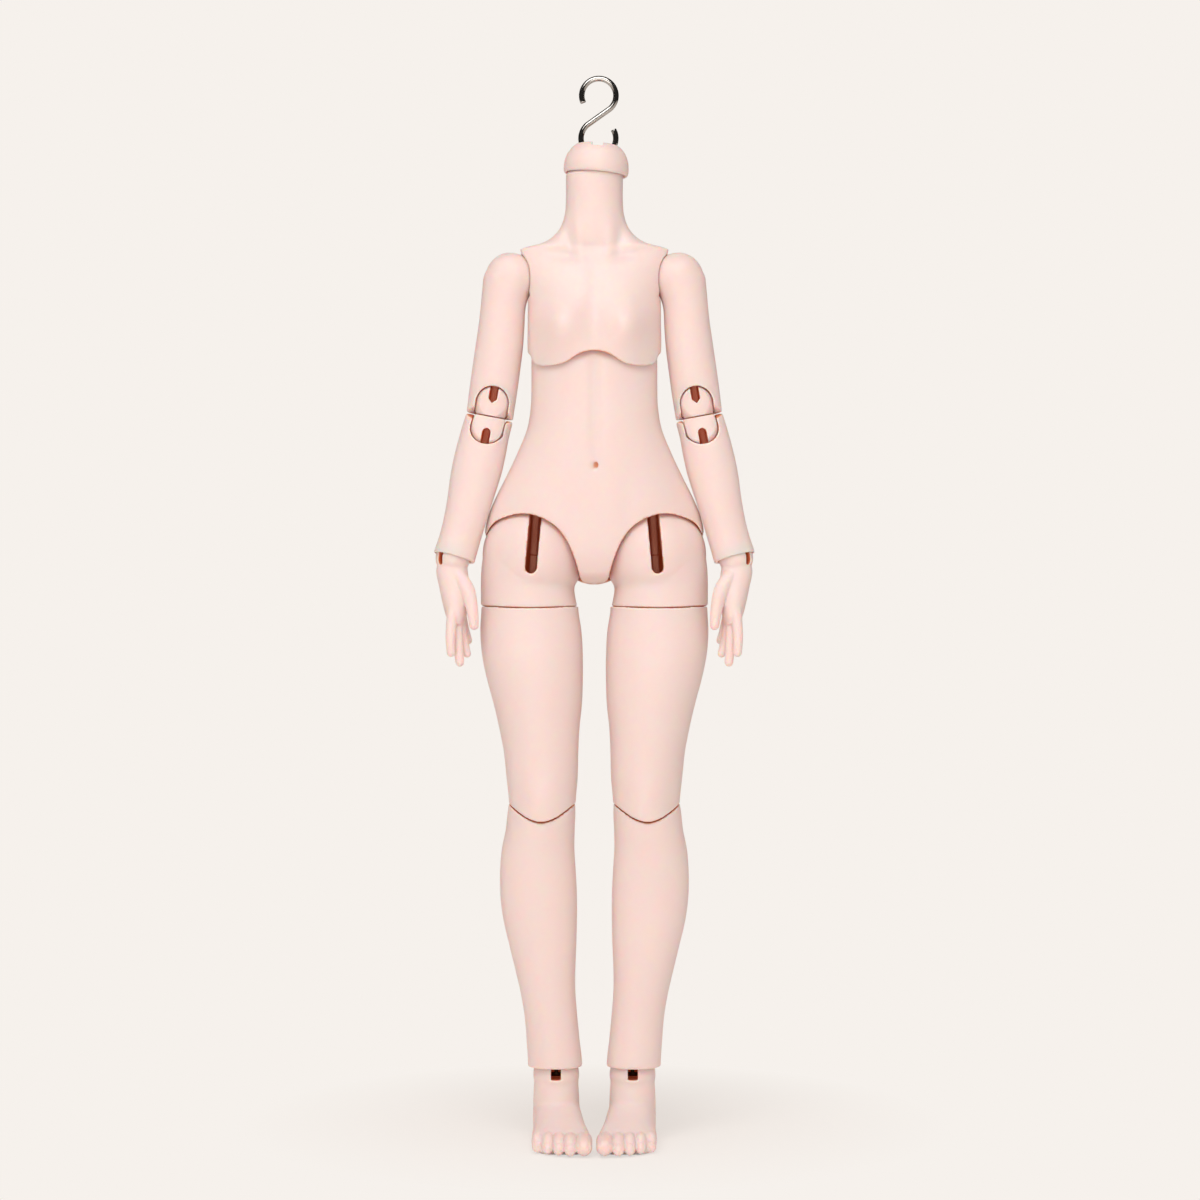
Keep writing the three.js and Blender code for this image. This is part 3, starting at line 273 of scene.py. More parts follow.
def tube(points, radii, sides=20, steps=24, cap=True):
    """A round limb, string or wire along a smooth route; cap rounds its far end."""
    route = curve(points, steps)
    lengths = [0.0]
    for a, b in zip(route, route[1:]):
        lengths.append(lengths[-1] + (b - a).length)
    total = lengths[-1]
    tip = radii[-1]
    if cap:
        # extra rings crowd into the rounded tip
        marks = [total * i / steps * (1 - tip / total) for i in range(steps + 1)]
        marks += [total - tip + tip * math.sin(a * DEG) for a in (15, 30, 45, 58, 70, 80, 86)]
    else:
        marks = [total * i / steps for i in range(steps + 1)]
    bm = bmesh.new()
    ring = bmesh.ops.create_circle(bm, cap_ends=True, segments=sides, radius=1)["verts"]
    edges = list(bm.edges)
    turns = [math.atan2(v.co.y, v.co.x) for v in ring]
    up = None
    for n, mark in enumerate(marks):
        k = min(bisect.bisect_right(lengths, mark), len(lengths) - 1) - 1
        span = lengths[k + 1] - lengths[k]
        u = (mark - lengths[k]) / span
        here = route[k].lerp(route[k + 1], u)
        along = (route[min(k + 2, len(route) - 1)] - route[max(k - 1, 0)]).normalized()
        if up is None:
            up = along.orthogonal().normalized()
        up = (up - along * up.dot(along)).normalized()
        side = along.cross(up)
        share = mark / total * (len(radii) - 1)
        j = min(int(share), len(radii) - 2)
        r = radii[j] + (radii[j + 1] - radii[j]) * (share - j)
        left = total - mark
        if cap and left < tip:
            r *= math.sqrt(max(0.0, 1 - ((tip - left) / tip) ** 2))
        if n > 0:
            ring, edges = grow(bm, ring, edges)
        for v, turn in zip(ring, turns):
            v.co = here + (up * math.cos(turn) + side * math.sin(turn)) * r
    bmesh.ops.contextual_create(bm, geom=edges)
    return piece(bm)


def lathe(profile, x, y, axis="Z", around=72):
    """A profile of (radius, height) points that starts and ends on the axis."""
    bm = bmesh.new()
    verts = [bm.verts.new((r, 0, h)) for r, h in profile]
    edges = [bm.edges.new(pair) for pair in zip(verts, verts[1:])]
    bmesh.ops.spin(bm, geom=verts + edges, cent=(0, 0, 0), axis=(0, 0, 1), angle=2 * math.pi,
                   steps=around, use_merge=True)
    bmesh.ops.remove_doubles(bm, verts=bm.verts, dist=1e-4)
    if axis == "X":
        bmesh.ops.rotate(bm, verts=bm.verts, matrix=Matrix.Rotation(math.pi / 2, 3, "Y"))
    bmesh.ops.translate(bm, verts=bm.verts, vec=(x, y, 0))
    return piece(bm)


def moved(obj, matrix):
    obj.data.transform(matrix)
    return obj


def mirrored(obj):
    """The same shape on the figure's other side."""
    mesh = obj.data.copy()
    mesh.transform(Matrix.Scale(-1, 4, (1, 0, 0)))
    mesh.flip_normals()
    twin = bpy.data.objects.new(obj.name, mesh)
    bpy.context.scene.collection.objects.link(twin)
    return twin


def both(obj):
    """A tool and its twin on the other side."""
    return [obj, mirrored(obj)]


def carve(body, *steps):
    """Joins, cuts and intersects in the order given: ("cut", tool, ...)."""
    kinds = {"join": "UNION", "cut": "DIFFERENCE", "keep": "INTERSECT"}
    used = []
    for kind, *tools in steps:
        for tool in tools:
            mod = body.modifiers.new("op", "BOOLEAN")
            mod.operation = kinds[kind]
            mod.object = tool
            mod.solver = "MANIFOLD"
            tool.hide_render = True
            used.append(tool)
    graph = bpy.context.evaluated_depsgraph_get()
    mesh = bpy.data.meshes.new_from_object(body.evaluated_get(graph))
    body.modifiers.clear()
    body.data = mesh
    for tool in used:
        bpy.data.objects.remove(tool)
    return body


def outer_skin(body):
    """The outside of a piece before it is cut, kept to tell its inner faces apart."""
    return BVHTree.FromObject(body, bpy.context.evaluated_depsgraph_get())


def cast(body, skin, grain, soften=3, deep=1.0):
    """Turns the cut solid into one even skin whose rims are slightly rounded. The mesh
    value 'inner' rises from 0 on the outside to 'deep' on the faces of seams and slots, where the resin
    paints shade and a glow by it."""
    mod = body.modifiers.new("skin", "REMESH")
    mod.mode = "VOXEL"
    mod.voxel_size = grain * 1
    mod.use_smooth_shade = True
    ease = body.modifiers.new("ease", "SMOOTH")
    ease.factor = 0.5
    ease.iterations = soften
    graph = bpy.context.evaluated_depsgraph_get()
    mesh = bpy.data.meshes.new_from_object(body.evaluated_get(graph))
    body.modifiers.clear()
    body.data = mesh
    inner = mesh.attributes.new("inner", "FLOAT", "POINT")
    depths = [(skin.find_nearest(v.co)[3] - INNER_START) / INNER_DEPTH for v in mesh.vertices]
    inner.data.foreach_set("value", [deep * min(1.0, max(0.0, d)) for d in depths])
    return body


def ease_band(body, low, high, rounds):
    """Smooths the crease where two joined forms meet, between two heights."""
    band = body.vertex_groups.new(name="band")
    band.add([v.index for v in body.data.vertices if low < v.co.z < high], 1.0, "REPLACE")
    mod = body.modifiers.new("ease", "SMOOTH")
    mod.factor = 0.6
    mod.iterations = rounds
    mod.vertex_group = "band"
    graph = bpy.context.evaluated_depsgraph_get()
    mesh = bpy.data.meshes.new_from_object(body.evaluated_get(graph))
    body.modifiers.clear()
    body.vertex_groups.clear()
    body.data = mesh
    return body


def engrave(body, height):
    """Fine marks: height(point, normal) gives how far the skin rises, in mm; a pit deeper than 0.7 mm
    also gets painted shade through its 'inner' value.
    """
    mesh = body.data
    rises = [height(v.co, v.normal) for v in mesh.vertices]
    inner = mesh.attributes["inner"].data
    for v, rise, tone in zip(mesh.vertices, rises, inner):
        if rise:
            v.co += v.normal * rise
            # painted shade: the deepest part of a pit darkens like a seam
            tone.value = max(tone.value, min(1.0, 0.4 * (-0.7 - rise)))
    return body


def turn_y(angle):
    return Matrix.Rotation(angle, 4, "Y")


def shift(x, y, z):
    return Matrix.Translation((x, y, z))


# torso
chest_rows = [
    [270, 0, 0, 23.6, 17.4, 12.6],
    [278, 0, 0, 23.8, 18.0, 13.0],
    [285, 0, 0, 23.8, 17.8, 13.6],
    [294, 0, 0, 23.7, 16.2, 14.2],
    [302, 0, 0, 23.9, 14.2, 13.8],
    [311, 0, 0.5, 26.6, 11.4, 12.0],
    [316, 0, 1, 27.6, 9.0, 10.0],
    [318.2, 0, 1, 25.6, 8.4, 9.4],
    [319.8, 0, 1, 19.2, 9.0, 9.8],
    [322, 0, 1, 15.2, 9.6, 10.2],
    [325, 0, 1, 12.5, 10.0, 10.3],
    [330, 0, 1, 10.6, 10.1, 10.2],
    [336, 0, 1, 10.15, 10.15, 10.15],
    [344.3, 0, 1, 10.15, 10.15, 10.15],
]


def bell(value, middle, wide):
    """1 at the middle, fading to nothing some two widths away."""
    return math.exp(-((value - middle) / wide) ** 2)


def chest_relief(co, back):
    if back >= 0:
        # shoulder blades and the line of the spine
        co.y -= 0.8 * bell(co.x, 0, 3.2) * bell(co.z, 296, 22) * back
        for side in (-1, 1):
            co.y += 0.7 * bell(co.x, side * 12, 5) * bell(co.z, 303, 9) * back
        return
    front = min(1.0, -back * 1.6)
    for side in (-1, 1):
        # the bust
        co.y -= 5.2 * bell(co.x, side * 12, 7.6) * bell(co.z, 290.5, 8.5) * front
        # collar bones run out and up from the pit of the neck, over a soft hollow
        line = 316.4 + 0.14 * abs(co.x)
        co.y -= 0.9 * bell(co.x, side * 12.5, 7.5) * bell(co.z, line, 1.7) * front
        co.y += 0.8 * bell(co.x, side * 9.5, 4.0) * bell(co.z, line - 3.4, 1.8) * front
        # the neck's two tendons stand proud of the hollows beside them
        lean = 5.2 + (co.z - 320) * 0.08
        co.y -= 0.7 * bell(co.x, side * lean, 2.0) * bell(co.z, 320, 7) * front
        co.y += 1.1 * bell(co.x, side * (lean + 3.8), 1.9) * bell(co.z, 321, 5) * front
    # the root of the neck stands out, the line of the breastbone lies in
    co.y -= 0.6 * bell(co.x, 0, 5.0) * bell(co.z, 318, 4) * -back
    co.y += 0.6 * bell(co.x, 0, 2.6) * bell(co.z, 295, 15) * -back


def barrel(gap):
    """The waist's barrel, which lies across the body and on which the chest leans."""
    half = WAIST["half"] + gap
    profile = []
    rounds = 24
    for i in range(-rounds, rounds + 1):
        x = math.sin(i / rounds * math.pi / 2)
        r = (1 - abs(x) ** WAIST["square"]) ** (1 / WAIST["square"]) if abs(i) < rounds else 0
        profile.append(((WAIST["radius"] + gap) * r, x * half))
    drum = lathe(profile, 0, 0, axis="X", around=96)
    return moved(drum, shift(0, WAIST["y"], WAIST["z"]))


RIM_SIDE_Z = 282.6
rim_half = [
    [3, 279.95], [6.3, 278.7], [10, 276.3], [15, 275.2], [19.6, 275.6], [22.0, 277.6],
    [23.4, 280.6], [30, RIM_SIDE_Z],
]
rim_wave = curve([[-x, z] for x, z in reversed(rim_half)] + [[0, 280.3]] + rim_half, 112)
ARMHOLE = {"x": 24.2, "lean": 12 * DEG, "below": 7.5}


def armhole():
    """The flat side of the chest that the upper arm stands against."""
    side = block(-30, 0, -30, 30, -ARMHOLE["below"], 30.5)
    return moved(side, shift(-ARMHOLE["x"], 0, SHOULDER["z"]) @ turn_y(-ARMHOLE["lean"]))


def make_chest():
    below = prism(rim_wave + [(30, 255), (-30, 255)], -40, WAIST["y"])
    behind = block(-40, 40, WAIST["y"] - 0.01, 40, 255, RIM_SIDE_Z)
    dome = carve(rod(NECK["column"], 12, 0, NECK["y"], NECK["rim"], around=72),
                 ("keep", ball(NECK["dome"], 0, NECK["y"], NECK["z"], 72)))
    cup = ball(SHOULDER["ball"] + SEAT_GAP, -SHOULDER["x"], SHOULDER["y"], SHOULDER["z"])
    arm_bore = rod(SHOULDER_BORE, 24, -16, SHOULDER["y"], SHOULDER["z"], axis="X")
    neck_bore = rod(NECK_BORE, 60, 0, NECK["y"], 325)
    string_room = block(-6.5, 6.5, -9, 6, 270, 296)
    chest = loft(chest_rows, around=144, steps=120, square=2.25, relief=chest_relief)
    skin = outer_skin(carve(chest, ("join", dome)))
    carve(chest, ("cut", below, behind, barrel(SEAT_GAP)),
          ("cut", *both(armhole()), *both(cup), *both(arm_bore)), ("cut", neck_bore, string_room))
    return cast(chest, skin, GRAIN["chest"])


pelvis_rows = [
    [198.5, 0, 1, 1.6, 3.5, 4.0],
    [198.9, 0, 1, 3.4, 6.5, 7.5],
    [199.9, 0, 1, 6.4, 9.5, 11.0],
    [201.4, 0, 1, 13.0, 12.6, 14.0],
    [204.5, 0, 1, 26.5, 14.6, 18.5],
    [209.5, 0, 1, 34.8, 16.2, 21.8],
    [215.4, 0, 1, 38.7, 17.0, 23.5],
    [222.5, 0, 1, 37.9, 17.4, 23.8],
    [229, 0, 0.8, 35.3, 17.2, 22.4],
    [237, 0, 0.5, 31.3, 16.9, 19.6],
    [245.7, 0, 0.2, 27.2, 16.6, 16.2],
    [254, 0, 0, 23.9, 16.4, 13.6],
    [262, 0, 0, 22.6, 16.0, 12.5],
    [269, 0, 0, 22.4, 16.0, 12.2],
    [277, 0, 0, 22.4, 16.2, 12.2],
    [291, 0, 0, 22.4, 16.2, 12.4],
]
NAVEL_Z = 240.0


def belly_relief(co, back):
    if back < 0:
        # shallow midline from the ribs down to the navel
        co.y += 0.75 * bell(co.x, 0, 2.0) * min(1, max(0, (co.z - NAVEL_Z - 1) / 8)) * -back
        # hip bones and the soft hollow beside them
        for side in (-1, 1):
            co.y -= 0.5 * bell(co.x, side * 22, 7) * bell(co.z, 231, 7) * -back
            co.y += 0.35 * bell(co.x, side * 12, 3.2) * bell(co.z, 224, 10) * -back
    else:
        # cleft of the seat, fading up into the small of the back
        deep = min(1, max(0, (232 - co.z) / 14))
        co.y -= 3.4 * bell(co.x, 0, 1.9) * deep * back
        co.y -= 1.0 * bell(co.x, 0, 3.0) * bell(co.z, 250, 15) * back


def navel(co, normal):
    """A small pit in a shallow dish."""
    if normal.y > -0.5 or abs(co.x) > 6 or abs(co.z - NAVEL_Z) > 8:
        return 0.0
    pit = bell(co.x, 0, 0.85) * bell(co.z, NAVEL_Z, 1.2)
    return -1.3 * pit - 0.28 * bell(co.x, 0, 2.6) * bell(co.z, NAVEL_Z - 0.4, 2.6)


leg_hole_rim = [(x - HIP["x"], z + HIP["z"]) for x, z in curve([
    [-19.5, -1], [-17.0, 6.4], [-13.4, 11.6], [-5.3, 14.3], [1.0, 13.6], [7.5, 10.3],
    [11.8, 5], [14.5, -1], [16.1, -6.2], [16.65, -8.3], [18.0, -9.6], [21.6, -10.2],
], 88)]


# the seat's lower edge: a plane through a point at the side, turned two ways
SEAT_EDGE = {"x": 38.6, "z": 215.8, "fall": 26 * DEG, "lean": 17 * DEG}


def leg_hole():
    """What the thigh takes out of the pelvis, in front by the rim and behind by a plane."""
    front = prism(leg_hole_rim + [(0, 190), (-60, 190), (-60, 208)], -40, HIP["y"] + 0.01)
    place = (shift(-SEAT_EDGE["x"], HIP["y"], SEAT_EDGE["z"]) @ turn_y(SEAT_EDGE["fall"])
             @ Matrix.Rotation(-SEAT_EDGE["lean"], 4, "X"))
    back = moved(block(-60, 60, 0, 60, -60, 0), place)
    carve(back, ("keep", block(-60, 0, HIP["y"], 60, 150, 240)))
    return front, back


def make_pelvis():
    body = loft(pelvis_rows, around=144, steps=130, square=2.3, relief=belly_relief)
    top = carve(block(-40, 40, -40, 40, 150, WAIST["z"]), ("join", barrel(0)))
    front, back = leg_hole()
    socket = ball(HIP["ball"] + SEAT_GAP, -HIP["x"], HIP["y"], HIP["z"], 72)
    hole = rod(HIP_BORE, 18, -HIP["x"] + 1.5, HIP["y"] - 1, 228)
    string_room = block(-6, 6, -7, 3, 272, 294)
    skin = outer_skin(carve(body, ("keep", top)))
    carve(body, ("cut", *both(front), *both(back), *both(socket), *both(hole)), ("cut", string_room))
    return engrave(cast(body, skin, GRAIN["belly"], soften=2), navel)


# neck cap and hook
def make_cap():
    """Turned about the neck's dome, then cut for the hook, a notch across it and the string."""
    inner = NECK["dome"] + SEAT_GAP + 0.2
    under = math.asin(CAP_MOUTH / inner)
    profile = [(inner * math.sin(under * i / 16), NECK["z"] + inner * math.cos(under * i / 16))
               for i in range(17)]
    # shares of the cap's radius and height
    profile += [(r * CAP_RADIUS, NECK["rim"] + h * CAP_HEIGHT) for r, h in curve([
        [0.946, 0.005], [0.991, 0.08], [1, 0.26], [0.96, 0.51], [0.84, 0.77], [0.66, 0.95], [0.44, 1],
    ], 40)]
    profile.append((0, CAP_TOP))
    cap = lathe(profile, 0, 0)
    skin = outer_skin(cap)
    groove = rod(HOOK_LOWER["radius"] + WIRE / 2 + SEAT_GAP, WIRE + 2 * SEAT_GAP,
                 0, 0, HOOK_LOWER["z"], axis="Y", around=64)
    notch = block(-CAP_NOTCH["half"], CAP_NOTCH["half"], -20, 20,
                  CAP_TOP - CAP_NOTCH["deep"], CAP_TOP + 5)
    room = rod(CAP_ROOM, 12, 0, 0, 347.5)
    hole = rod(CAP_HOLE, 20, 0, 0, 350)
    carve(cap, ("cut", groove, notch, room, hole))
    return moved(cast(cap, skin, GRAIN["cap"]), shift(0, 0, -NECK["z"]))


def hook_route():
    """Two loops joined by their inner tangent line, seen from the lower loop."""
    rl, ru = HOOK_LOWER["radius"], HOOK_UPPER["radius"]
    rise = math.hypot(rl + ru, HOOK_STRAIGHT)
    slant = math.acos((rl + ru) / rise)
    route = []
    for r, z, start, end in ((ru, rise, 205 * DEG, slant - math.pi / 2),
                             (rl, 0, slant + math.pi / 2, 390 * DEG)):
        for i in range(25):
            a = start + (end - start) * i / 24
            route.append((r * math.cos(a), 0, z + r * math.sin(a)))
    return route


# arms, right side
arm_rows = [
    [3, -0.1, 0, 8.4, 8.4, 8.4],
    [0, -0.25, 0, 9.25, 9.0, 9.0],
    [-2, -0.6, 0, 9.15, 8.95, 8.95],
    [-5, -1.1, 0, 8.5, 8.75, 8.75],
    [-9, -1.35, 0, 8.05, 8.55, 8.6],
    [-12, -1.2, 0, 8.0, 8.45, 8.55],
    [-17, -0.85, 0, 8.15, 8.4, 8.6],
    [-24, -0.6, 0, 8.4, 8.2, 8.5],
    [-33, -0.5, 0, 8.5, 7.8, 8.4],
    [-41, -0.45, 0, 8.5, 7.4, 8.2],
    [-UPPER_ARM_LENGTH - ELBOW_UPPER_SEAM, -0.4, 0, 8.35, 7.2, 8.0],
]


def elbow_arch(z, toward, drop, gap=0.0):
    """Round-ended window in the front of a sleeve, through which the half ball shows."""
    z -= drop
    half = ELBOW_ARCH - gap
    low, high = sorted((z, z + toward * 20))
    return carve(rod(half, 30, 0, -17, z, axis="Y"), ("join", block(-half, half, -32, -2, low, high)))


def elbow_drum(reach, span):
    """The round room about an elbow's cross axis in which its window cover swings."""
    taper = 1.75     # how fast the drum narrows towards its ends
    xs = [span * i / 16 for i in range(-16, 17)]
    profile = [(math.sqrt(reach ** 2 - taper * x ** 2), x) for x in xs]
    drum = lathe([(0, -span), *profile, (0, span)], 0, 0, axis="X", around=96)
    return carve(drum, ("keep", block(-10, 10, -20, -0.5, -20, 20)))


def elbow_cover(rows, window, reach, place):
    """What fills the window of a sleeve, level with it and clear of its edge."""
    cover = carve(loft(inset(rows, COVER_SINK), around=80, steps=70), ("keep", window))
    return carve(moved(cover, place), ("keep", elbow_drum(reach, ELBOW_ARCH - 0.15)))


# from an elbow half's own frame to that of its sleeve
ELBOW_TO_ARM = shift(0, 0, -UPPER_ARM_LENGTH) @ turn_y(ELBOW_TILT - UPPER_ARM_TILT)
FOREARM_SET = turn_y(-ELBOW_TILT) @ Matrix.Rotation(-FOREARM_LEAN, 4, "X") @ turn_y(FOREARM_TILT)
ELBOW_TO_FOREARM = FOREARM_SET.inverted()


def past_seam(z, toward, tilt):
    """What lies past an elbow seam, with the wedge that eases its front half."""
    reach = 14     # past the front of the sleeve
    rise = reach * math.tan(ELBOW_BEVEL)
    low, high = sorted((z, -toward * 40))
    wedge = prism([(-1, z - toward * 2), (-1, z), (-1 - reach, z + toward * rise),
                   (-1 - reach, z - toward * 2)], -20, 20, axis="X")
    past = carve(block(-30, 30, -30, 30, low, high), ("join", wedge))
    return moved(past, turn_y(ELBOW_TILT - tilt))


def make_upper_arm():
    seam = moved(past_seam(SEAT_GAP - ELBOW_UPPER_SEAM, 1, UPPER_ARM_TILT),
                 shift(0, 0, -UPPER_ARM_LENGTH))
    arm = loft(arm_rows, around=80, steps=70)
    skin = outer_skin(carve(arm, ("cut", seam), ("join", ball(SHOULDER["ball"], 0, 0, 0))))
    room = elbow_drum(ELBOW_UPPER_REACH + SEAT_GAP, ELBOW_ARCH)
    # the slot in the shoulder ball leaves the string room as the arm rises
    shoulder_slot = block(-2, 20, -SHOULDER_SLOT / 2, SHOULDER_SLOT / 2, -2, 20)
    carve(arm, ("cut", ball(ELBOW_UPPER_BALL + SEAT_GAP, 0, 0, -UPPER_ARM_LENGTH),
                moved(room, ELBOW_TO_ARM), elbow_arch(-UPPER_ARM_LENGTH, -1, ELBOW_UPPER_DROP),
                shoulder_slot, rod(ARM_BORE, UPPER_ARM_LENGTH, 0, 0, -UPPER_ARM_LENGTH / 2)))
    return ease_band(cast(arm, skin, GRAIN["upper arm"]), low=-13, high=-2, rounds=60)


def make_elbow(radius, seam, toward, cover):
    """One half ball of the elbow, the upper one (1) or the lower one (-1)."""
    half = ball(radius, 0, 0, 0, 64)
    skin = outer_skin(carve(half, ("join", cover)))
    past = block(-20, 20, -20, 20, *sorted((seam, -toward * 30)))
    # the upper slot ends in a point, the lower one is round
    slot_end, sides = (1.0, 4) if toward > 0 else (-1.4, 32)
    slot = block(-ELBOW_SLOT / 2, ELBOW_SLOT / 2, -20, 1.6, *sorted((slot_end, toward * 20)))
    tip = rod(ELBOW_SLOT / 2, 21.6, 0, -9.2, slot_end, axis="Y", around=sides)
    carve(half, ("cut", past, slot, tip, rod(ELBOW_BORE, 30, 0, 0, 0, around=32)))
    return cast(half, skin, GRAIN["elbow"], soften=2, deep=ELBOW_PAINTED_GLOW)


forearm_rows = [
    [ELBOW_SPACING - ELBOW_UPPER_SEAM, -0.5, 0, 8.4, 7.2, 7.8],
    [-1, -0.55, 0, 8.55, 7.6, 8.2],
    [-8, -0.3, 0, 8.85, 8.2, 8.6],
    [-14, -0.1, 0, 8.9, 8.2, 8.5],
    [-20, 0.05, 0, 8.55, 7.9, 8.1],
    [-27, 0.35, 0, 7.9, 7.4, 7.5],
    [-35, 0.6, 0, 7.4, 6.9, 7.0],
    [-41, 0.6, 0, 7.25, 6.8, 6.9],
    [0.2 - FOREARM_LENGTH, 0.4, 0, 7.4, 6.9, 6.9],
]


def make_forearm():
    arm = loft(forearm_rows, around=80, steps=70)
    skin = outer_skin(arm)
    carve(arm, ("cut", past_seam(ELBOW_SPACING - ELBOW_UPPER_SEAM - SEAT_GAP, -1, FOREARM_TILT),
                ball(ELBOW_LOWER_BALL + SEAT_GAP, 0, 0, 0), elbow_arch(0, 1, ELBOW_LOWER_DROP),
                moved(elbow_drum(ELBOW_LOWER_REACH + SEAT_GAP, ELBOW_ARCH), ELBOW_TO_FOREARM),
                ball(WRIST_BALL + SEAT_GAP, 0, 0, -FOREARM_LENGTH),
                rod(ARM_BORE, FOREARM_LENGTH, 0, 0, -FOREARM_LENGTH / 2)))
    return cast(arm, skin, GRAIN["forearm"])


THUMB_NAIL = [7.6, -23.8]


def hand_marks(co, normal):
    """The thumb's nail."""
    if normal.y > -0.2:
        return 0.0
    return nail(co, THUMB_NAIL, 1.05, 1.5, 0.12)


def make_hand():
    palm = loft([
        [-1, -0.2, 0, 5.2, 4.8, 5.0],
        [-5, -0.2, 0, 5.6, 4.9, 5.2],
        [-10, 0.6, 0, 5.4, 5.6, 6.0],
        [-16, 1.0, 0, 4.5, 6.4, 6.4],
        [-21, 1.4, 0, 3.5, 6.3, 6.3],
        [-24, 1.7, 0, 2.3, 5.4, 5.4],
    ], around=48, steps=30)
    # the four fingers and the thumb: points of the middle line and radii along it
    fingers = [
        ([[0.8, -3.6, -14], [-0.1, -5.4, -25], [-0.3, -5.8, -30], [0, -5.2, -35.8]],
         [2.1, 2.0, 1.75, 1.5]),
        ([[1.0, -1.4, -14], [1.9, -2.2, -27], [2.4, -2.3, -33], [3.0, -1.8, -38.8]],
         [2.1, 2.0, 1.8, 1.5]),
        ([[1.4, 1.4, -14], [3.3, 1.4, -26], [4.4, 1.2, -31], [5.6, 1.4, -35.2]],
         [2.0, 1.9, 1.7, 1.4]),
        ([[1.6, 3.6, -13], [3.6, 4.6, -22], [4.8, 4.6, -26.5], [6.0, 4.6, -30]],
         [1.9, 1.7, 1.5, 1.3]),
        ([[1.5, -2.2, -6], [5.4, -4.4, -12], [7.2, -5.4, -19], [8.1, -5.4, -26.3]],
         [2.8, 2.7, 2.1, 1.6]),
    ]
    tubes = [tube(points, radii) for points, radii in fingers]
    # the slot opens outwards and forwards and holds the cross pin of the hook
    slot = carve(block(-10, 10, -WRIST_SLOT / 2, WRIST_SLOT / 2, -2.6, 12),
                 ("join", rod(WRIST_SLOT / 2, 20, 0, 0, -2.6, axis="X", around=24),
                  rod(SMALL_WIRE / 2 + SEAT_GAP, 7.0, 0, 0, 0, axis="Y", around=24)))
    moved(slot, turn_y(FOREARM_TILT) @ Matrix.Rotation(WRIST_SLOT_TURN, 4, "Z"))
    skin = outer_skin(carve(palm, ("join", ball(WRIST_BALL, 0, 0, 0), *tubes)))
    return engrave(cast(carve(palm, ("cut", slot)), skin, GRAIN["hand"], soften=4), hand_marks)


def string_hook(pin, shank, eye):
    """A cross pin, a shank up from it and the eye that holds the string."""
    r = SMALL_WIRE / 2
    bm = bmesh.new()
    ring = bmesh.ops.create_circle(bm, segments=16, radius=r)["verts"]
    bmesh.ops.rotate(bm, verts=ring, matrix=Matrix.Rotation(math.pi / 2, 3, "X"))
    bmesh.ops.translate(bm, verts=ring, vec=(eye, 0, 0))
    bmesh.ops.spin(bm, geom=bm.verts[:] + bm.edges[:], cent=(0, 0, 0), axis=(0, 0, 1),
                   angle=2 * math.pi, steps=36, use_merge=True)
    bmesh.ops.remove_doubles(bm, verts=bm.verts, dist=1e-4)
    bmesh.ops.rotate(bm, verts=bm.verts, matrix=Matrix.Rotation(math.pi / 2, 3, "X"))
    bmesh.ops.translate(bm, verts=bm.verts, vec=(0, 0, shank + eye))
    loop = piece(bm)
    return carve(loop, ("join", rod(r, pin, 0, 0, 0, axis="X", around=24),
                        rod(r, shank, 0, 0, shank / 2, around=24)))


# legs, right side, in the figure's own place
upper_thigh_rows = [
    [184, -23.1, 0.5, 17.2, 15.6, 18.6],
    [190, -23.2, 0.5, 17.2, 15.5, 18.6],
    [194, -23.6, 0.5, 16.8, 15.2, 18.6],
    [198, -23.85, 0.5, 16.6, 15.2, 18.3],
    [204, -23.0, 0.5, 17.2, 16.4, 17.9],
    [209, -21.9, 0.5, 17.8, 16.9, 17.9],
]
lower_thigh_rows = [
    [THIGH_SEAM_Z + 3, -23.0, 0.5, 17.2, 15.6, 18.6],
    [189, -22.95, 0.5, 17.3, 15.7, 18.6],
    [182, -22.6, 0.5, 18.0, 16.4, 18.0],
    [173, -22.0, 0.3, 17.9, 17.0, 17.0],
    [164.5, -21.1, 0, 17.0, 16.4, 15.6],
    [156, -20.1, -0.2, 15.7, 15.6, 14.2],
    [147.4, -19.55, -0.4, 14.25, 14.6, 12.8],
    [139, -18.95, -0.5, 13.25, 13.6, 11.8],
    [130.3, -18.6, -0.5, 12.7, 13.0, 11.2],
    [121.8, -18.5, -0.5, 11.9, 12.8, 10.8],
    [112, -18.6, -0.5, 11.8, 12.6, 10.6],
]
shin_rows = [
    [122, -18.6, -0.3, 11.7, 12.4, 10.6],
    [117.5, -18.8, -0.2, 12.05, 12.2, 10.8],
    [111, -19.3, 0, 12.3, 11.8, 11.4],
    [104.7, -20.0, 0.3, 12.9, 11.3, 12.8],
    [96.2, -20.1, 0.6, 13.5, 10.8, 15.0],
    [87.6, -19.85, 1.0, 13.65, 10.5, 15.6],
    [79.1, -19.3, 1.2, 13.1, 10.2, 15.0],
    [70.5, -18.4, 1.4, 12.0, 10.0, 13.2],
    [62, -17.55, 1.6, 10.8, 9.7, 11.4],
    [53.4, -16.55, 1.8, 9.8, 9.4, 10.2],
    [44.9, -15.5, 2.0, 9.4, 9.2, 9.6],
    [36.4, -14.75, 2.0, 9.45, 9.3, 9.5],
    [ANKLE_CUFF_Z, -14.0, 2.0, 9.65, 9.5, 9.7],
]


def seam_side(toward):
    """Everything past the thigh seam, a shallow cone about the swivel axis."""
    middle = THIGH_SEAM_Z - THIGH_SEAM_SLOPE * THIGH_SEAM_RADIUS + toward * SEAT_GAP / 2
    reach = 2 * THIGH_SEAM_RADIUS
    far = middle - toward * 60
    return lathe([(0, middle), (reach, middle + THIGH_SEAM_SLOPE * reach), (reach, far), (0, far)],
                 -THIGH_X, HIP["y"])


